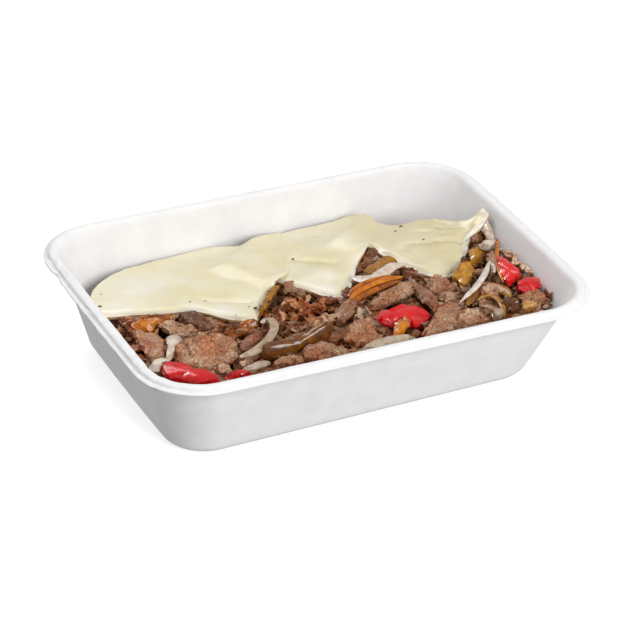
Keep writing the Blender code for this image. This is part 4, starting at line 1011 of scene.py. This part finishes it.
cheese = {"thick": 2.2, "gap": 0.3, "cells": 64, "rim": 0.8, "sag": 1.6, "sagWide": 6.5,
          # dim is a painted shade for the cheese towards the right of the heap
          "pale": "#E8E1C8", "deep": "#DDD2A8", "edge": "#ECE7DC", "paintedSideShade": "#CABC92", "oily": "#AE8236",
          "roughness": 0.34,
          "slices": {
              "cheese_left": {
                  "front": ((-99.5, 25), (-83, 17), (-70, 12.5), (-59, 9.5), (-49.5, 0), (-42, -6), (-35, -10.5)),
                  "right": ((-35, -10.5), (-29, -3), (-22, 5), (-13.5, 15), (-3, 24), (5, 45), (14.5, 71)),
                  "back": ((-71, 67.5), (-50, 69), (-26.5, 71), (-13, 65.5), (-2.5, 66.5), (14.5, 71)),
                  "left": ((-99.5, 25), (-99.5, 38), (-95.5, 50), (-86, 60), (-71, 67.5)),
                  "over": ((11, 69), (-26, 40), (-12.5, 19.5)), "melt": (16, 32)},
              "cheese_middle": {
                  "front": ((-24, 38), (-12.5, 19.5), (-7, 10.5), (0, 2.5), (5, -3), (11.5, -8)),
                  "right": ((11.5, -8), (15, -6), (22, 3), (27, 10.5), (33, 19), (41, 27), (50, 37), (60, 51)),
                  "back": ((11, 69), (22, 69), (32, 67.5), (45, 70), (53, 70.5), (58, 63), (60, 51)),
                  "left": ((-24, 38), (-13, 50), (-2, 60), (11, 69)),
                  "over": ((58, 56), (36, 38), (44, 30)), "melt": (27, 37)},
              "cheese_right": {
                  "front": ((36, 36), (43, 30), (46, 20.5), (50.5, 7.5), (55.5, -2.5), (61, -8), (68, -10)),
                  "right": ((68, -10), (73, -7.5), (78.5, -2), (82.5, 1.5), (85.5, 4.7), (88, 9.5), (91.5, 13.6),
                            (94.8, 14), (98.4, 14.4), (102, 16.3), (105, 20), (105, 26.3)),
                  "back": ((58, 56), (64, 49), (69, 45.5), (75.5, 45), (82, 42), (89.1, 37.7), (93.7, 29.8),
                           (97.6, 25.5), (101.3, 25.9), (105, 26.3)),
                  "left": ((36, 36), (44, 43), (58, 56)),
                  "over": None, "melt": None}},
          # creases: route in plan, depth and half width
          "creases": (
              (((2.7, 34.7), (6.2, 34.1), (9.4, 30.5), (14.5, 27.5), (19.6, 24.6), (21.4, 21.6)), 0.8, 1.6),
              (((-50.2, 19.0), (-45.7, 14.8), (-39.7, 13.1), (-34.9, 9.8), (-30.6, 7.8)), 0.6, 1.8),
              (((66.5, 22.5), (70.3, 21.2), (75.5, 20.5), (80.8, 18.0), (85.5, 14.2), (88.6, 11.6)), 1.1, 1.5),
              (((78.1, 32.4), (83.6, 36.7), (89.8, 37.8)), 1.0, 1.3),
              (((80.7, 25.4), (84.9, 31.5), (89.1, 35.3)), 0.7, 1.0),
              (((83.4, 24.2), (87.1, 29.3), (90.4, 33.5)), 0.6, 1.0),
              (((72, 34), (78, 30), (84, 30.5), (90, 27)), 0.6, 1.2),
              (((57, 20), (62, 24), (66.5, 22.5)), 0.7, 1.4),
              (((86, 14), (91, 19), (96, 20.5)), 0.6, 1.0)),
          # soft lumps from what lies under: x, y, height, radius
          "lumps": ((10, 17, 0.9, 4), (15, 20, 0.8, 3.5), (34, 31, 0.6, 5), (-30, 20, 0.5, 6),
                    (-60, 30, 0.5, 8), (-78, 30, 0.4, 7), (70, 14, 0.5, 7), (58, 4, 0.6, 5),
                    (-5, 6, 0.6, 5), (-44, 4, 0.5, 5), (-14, 40, 0.6, 6), (28, 12, 0.6, 4)),
          # where a painted sheen lightens the cheese: x, y, radius
          "paintedSheenSpots": ((-46, 5, 8), (-58, 10, 6), (7, 3, 7), (13, 12, 4), (-90, 30, 7), (-75, 40, 12)),
          "specks": ((-57.3, 18.2, 0.45), (-30.7, 1.1, 0.75), (-92.3, 45.1, 0.4), (-97.0, 34.8, 0.8),
                     (-1.1, 51.8, 0.7), (67.6, 43.6, 0.7), (62.8, 40.1, 0.55), (-50.0, 16.9, 0.5),
                     (-1.4, 39.7, 0.3), (4.8, 35.7, 0.6), (70.6, 24.6, 0.6), (-41.6, -0.7, 0.3),
                     (-33.0, 3.2, 0.4), (-71, 40, 0.25), (-22, 33, 0.25), (24, 52, 0.25))}


def segmentDistance(line, x, y):
    best = 1e9
    for (x0, y0), (x1, y1) in zip(line, line[1:]):
        dx, dy = x1 - x0, y1 - y0
        share = min(1.0, max(0.0, ((x - x0) * dx + (y - y0) * dy) / (dx * dx + dy * dy)))
        best = min(best, math.hypot(x - x0 - dx * share, y - y0 - dy * share))
    return best


def insideOf(wedge, x, y):
    distances = []
    for (x0, y0), (x1, y1) in zip(wedge, wedge[1:]):
        dx, dy = x1 - x0, y1 - y0
        distances.append((dx * (y - y0) - dy * (x - x0)) / math.hypot(dx, dy))
    return min(distances)


def cheeseTop(piece, x, y, melted=0.0):
    # height of a slice's middle surface, with the creases and lumps pressed into it
    tip = heap["tipRise"] * smooth(90, 105, x) * smooth(0, 14, y)
    height = heapLevel(x, y) + hillsAt(x, y) + tip - cheese["thick"] / 2
    if piece["over"]:
        step = (cheese["thick"] + 3 * cheese["gap"]) * (1 - melted)
        height += step * smooth(-10, -3, insideOf(piece["over"], x, y))
    for lumpX, lumpY, rise, radius in cheese["lumps"]:
        height += rise * math.exp(-((x - lumpX) ** 2 + (y - lumpY) ** 2) / radius ** 2)
    for route, depth, wide in cheese["creases"]:
        if abs(x - route[0][0]) < 40 and abs(y - route[0][1]) < 40:
            height -= 2.2 * depth * math.exp(-(segmentDistance(route, x, y) / (0.7 * wide)) ** 2)
    return height + 0.6 * grain(x, y, 70, 13, 2) + (0.2 + 0.2 * smooth(30, 70, x)) * grain(x, y, 90, 5, 2)


def spread(cells):
    # shares from 0 to 1 that lie closer together near both ends, for a round edge
    return [0.5 - 0.5 * math.copysign(abs(math.cos(math.pi * n / cells)) ** 0.8, math.cos(math.pi * n / cells))
            for n in range(cells + 1)]


def buildCheese(name, piece, material):
    cells = cheese["cells"]
    places = spread(cells)
    edges = {side: piece[side] for side in ("front", "right", "back", "left")}
    corners = (edges["front"][0], edges["front"][-1], edges["back"][0], edges["back"][-1])
    routes = {side: [along(line, n / 60) for n in range(61)] for side, line in edges.items()}
    middle, margins, whiteEdgeAndSheen, rims, paintedSideShades = [], [], [], [], []
    for v in places:
        left, right = along(edges["left"], v), along(edges["right"], v)
        for u in places:
            front, back = along(edges["front"], u), along(edges["back"], u)
            x, y = [(1 - v) * front[n] + v * back[n] + (1 - u) * left[n] + u * right[n]
                    - (1 - u) * (1 - v) * corners[0][n] - u * (1 - v) * corners[1][n]
                    - (1 - u) * v * corners[2][n] - u * v * corners[3][n] for n in (0, 1)]
            margin = min(segmentDistance(route, x, y) for route in routes.values())
            toFront, toRight = segmentDistance(routes["front"], x, y), segmentDistance(routes["right"], x, y)
            melted = smooth(*piece["melt"], y) * (1 - smooth(0, 17, toRight)) if piece["melt"] else 0.0
            hang = min(toFront, toRight + 30 * melted)
            if piece["over"] is None and x < 70:
                hang = toFront
            drop = cheese["sag"] * (1 - smooth(0, cheese["sagWide"], hang)) * smooth(96, 84, x)
            drop *= smooth(40, 30, y)
            z = cheeseTop(piece, x, y, melted)
            wobble = 0.5 * grain(x, y, 20, 6, 2) * (1 - smooth(0, 8, hang))
            middle.append(raised(x, y, z, z - drop + wobble))
            margins.append(margin)
            # painted sheen: the cheese is lightened around these spots, on top of its whiter hanging edge
            pale = max(math.exp(-((x - px) ** 2 + (y - py) ** 2) / reach ** 2) for px, py, reach in cheese["paintedSheenSpots"])
            whiteEdgeAndSheen.append(max(0.8 * pale, 1 - smooth(0, 5, hang)))
            rims.append(1 - smooth(0.25, 0.95, min(toFront, toRight + 30 * melted)))
            # painted shade: the cheese is darker towards the right of the heap, mottled
            paintedSideShades.append((0.18 * smooth(-5, 20, x) + 0.46 * smooth(34, 56, x)) * (0.75 + 0.6 * grain(x, y, 44, 16, 1)))
    faces = gridFaces(cells, cells)
    normals = [Vector((0, 0, 0)) for _ in middle]
    for face in faces:
        a, b, c, d = [Vector(middle[n]) for n in face]
        normal = (c - a).cross(d - b)
        for n in face:
            normals[n] += normal
    halves = []
    for place, normal, margin in zip(middle, normals, margins):
        near = min(1.0, margin / cheese["rim"])
        half = cheese["thick"] / 2 * math.sqrt(max(0.0, 1 - (1 - near) ** 2))
        halves.append(normal.normalized() * (half * (1 - 0.6 * smooth(82, 100, place[0]))))
    points = [tuple(Vector(place) + half) for place, half in zip(middle, halves)]
    # both skins share the points of the outline
    under = {}
    for number, (place, half) in enumerate(zip(middle, halves)):
        if number % (cells + 1) in (0, cells) or number // (cells + 1) in (0, cells):
            under[number] = number
            continue
        under[number] = len(points)
        points.append(tuple(Vector(place) - half))
        for layer in (whiteEdgeAndSheen, rims, paintedSideShades):
            layer.append(layer[number])
    faces += [tuple(under[n] for n in face[::-1]) for face in faces]
    meshPiece(name.replace("cheese_", "cheese") + "Slice", points, faces, material, [name], "cheese",
              {"sag": whiteEdgeAndSheen, "rim": rims, "paintedSideShade": paintedSideShades})


def cheeseMaterial():
    # processed provolone, melted: nearly white, faintly yellow in its thickness, satin with soft gloss
    made, tree, shader = newMaterial("meltedPaleCheese", cheese["pale"], cheese["roughness"],
                                     {"Subsurface Weight": 0.35, "Subsurface Radius": (1.0, 0.8, 0.45),
                                      "Subsurface Scale": 2.0 * mm, "IOR": 1.44})
    coords = objectCoords(tree)
    sag, rim, paintedSideShade = [layerValue(tree, key) for key in ("sag", "rim", "paintedSideShade")]
    base = ramp(tree, noiseValue(tree, coords, 45, 3), ((0.32, cheese["pale"]), (0.68, cheese["deep"])))
    # painted shade towards the right, then the whiter hanging edge together with the painted sheen spots
    shadeEdgeAndSheen = mixColour(tree, sag, mixColour(tree, paintedSideShade, base, cheese["paintedSideShade"]), cheese["edge"])
    oil = maths(tree, "MULTIPLY", rim, 0.85)
    tree.links.new(mixColour(tree, oil, shadeEdgeAndSheen, cheese["oily"]), shader.inputs["Base Color"])
    bumped(tree, shader, noiseValue(tree, coords, 420, 3), 0.12, 0.35)
    return made


def buildSpecks():
    made, tree, shader = newMaterial("crackedBlackPepper", "#3A2A1E", 0.7)
    coords = objectCoords(tree)
    rough = noiseValue(tree, coords, 1500, 2)
    tree.links.new(ramp(tree, rough, ((0.35, "#2A1C12"), (0.65, "#6B4A2E"))), shader.inputs["Base Color"])
    shapes = []
    for number, (x, y, size) in enumerate(cheese["specks"]):
        owner = "cheese_left" if x < -12 else "cheese_middle" if x < 45 else "cheese_right"
        place = Vector((x, y, cheeseTop(cheese["slices"][owner], x, y) + cheese["thick"] / 2))
        ball = bmesh.new()
        bmesh.ops.create_icosphere(ball, subdivisions=2, radius=1)
        points = []
        for vert in ball.verts:
            lump = 1 + 0.4 * noise.noise(vert.co * 1.7 + Vector((number * 7, 0, 0)))
            stretched = Vector((vert.co.x * size * 1.3, vert.co.y * size, vert.co.z * size * 0.5))
            points.append(tuple(place + stretched * lump))
        faces = [tuple(v.index for v in face.verts) for face in ball.faces]
        ball.free()
        shapes.append((points, faces, {}))
    joinedPiece("pepperSpecks", shapes, made, [], "cheese")


cheeseLook = cheeseMaterial()
for name, piece in cheese["slices"].items():
    buildCheese(name, piece, cheeseLook)
buildSpecks()
print("cheese built")


# Peppers and onions: materials and meshes.

def vegetableMaterial(kind):
    # a wet coat over soft flesh; the tone layer goes from browned to raw
    name, dark, middle, light, roughness, coat, wrinkle = vegetables[kind]
    made, tree, shader = newMaterial(name, middle, roughness,
                                     {"Subsurface Weight": 0.2, "Subsurface Radius": (1.0, 0.5, 0.25),
                                      "Subsurface Scale": 1.2 * mm, "IOR": 1.4, "Coat Weight": coat,
                                      "Coat Roughness": 0.06})
    coords = objectCoords(tree)
    total = maths(tree, "MULTIPLY_ADD", noiseValue(tree, coords, 260, 4, 0.6), 1.3, layerValue(tree, "tone"))
    total = maths(tree, "MULTIPLY_ADD", layerValue(tree, "edge"), -0.22, total)
    total = maths(tree, "SUBTRACT", total, 0.6)
    tree.links.new(ramp(tree, total, ((0.0, dark), (0.45, middle), (1.0, light))), shader.inputs["Base Color"])
    bumped(tree, shader, noiseValue(tree, coords, 620, 3, 0.55, 0.6), wrinkle, 0.6)
    return made


def buildVegetable(name, kind, parts, nodes, rng):
    shapes = []
    for part in parts:
        if "route" in part:
            points, faces, shares = stripShape(part, rng)
        else:
            points, faces, shares = sheetShape({"thick": 2.2, "cell": 0.75} | part, rng)
        shapes.append((points, faces, {"tone": [part["tone"]] * len(points), "edge": shares}))
    joinedPiece(name, shapes, looks[kind], nodes, "beef" if kind == "crust" else kind, vegetableCrease)


vegetableCrease = 44
looks = {kind: vegetableMaterial(kind) for kind in vegetables}
vegetableRng = random.Random(23)
for name, (kind, parts) in pieces.items():
    buildVegetable(name.replace("_", "") + "Look", kind, parts, [name], vegetableRng)
for name, (kind, parts) in extras.items():
    buildVegetable(name, kind, parts, [], vegetableRng)
print("peppers and onions built")


# Floor and light: a white table, a big soft box before the tray and a weaker one behind it for the gloss.

floorMesh = bpy.data.meshes.new("floor")
half = 3.0
floorMesh.from_pydata([(-half, -half, 0), (half, -half, 0), (half, half, 0), (-half, half, 0)], [], [(0, 1, 2, 3)])
floorMesh.materials.append(newMaterial("backlitTable", "#FFFFFF", 0.9, {"Emission Color": (1, 1, 1, 1),
                                                                       "Emission Strength": 0.48})[0])
floor = bpy.data.objects.new("floor", floorMesh)
bpy.context.scene.collection.objects.link(floor)
floor.visible_diffuse = False

light = {"sky": 0.42,
         "boxes": {"frontBox": {"place": (0.35, -1.35, 0.72), "size": 0.8, "energy": 17.5},
                   "backBox": {"place": (-0.2, 0.6, 1.25), "size": 0.75, "energy": 8.0},
                   "glossBox": {"place": (-0.5, 1.2, 0.95), "size": 0.4, "energy": 12.0}}}

world = bpy.data.worlds.new("studio")
world.use_nodes = True
world.node_tree.nodes["Background"].inputs["Color"].default_value = (1, 1, 1, 1)
world.node_tree.nodes["Background"].inputs["Strength"].default_value = light["sky"]
bpy.context.scene.world = world
for name, box in light["boxes"].items():
    lampData = bpy.data.lights.new(name, "AREA")
    lampData.size = box["size"]
    lampData.energy = box["energy"]
    lamp = bpy.data.objects.new(name, lampData)
    lamp.location = box["place"]
    lamp.visible_diffuse = name != "glossBox"
    lamp.rotation_euler = (-lamp.location).to_track_quat("-Z", "Y").to_euler()
    bpy.context.scene.collection.objects.link(lamp)
bpy.context.scene.view_settings.view_transform = "Standard"
bpy.context.scene.view_settings.look = "None"

print("scene done")
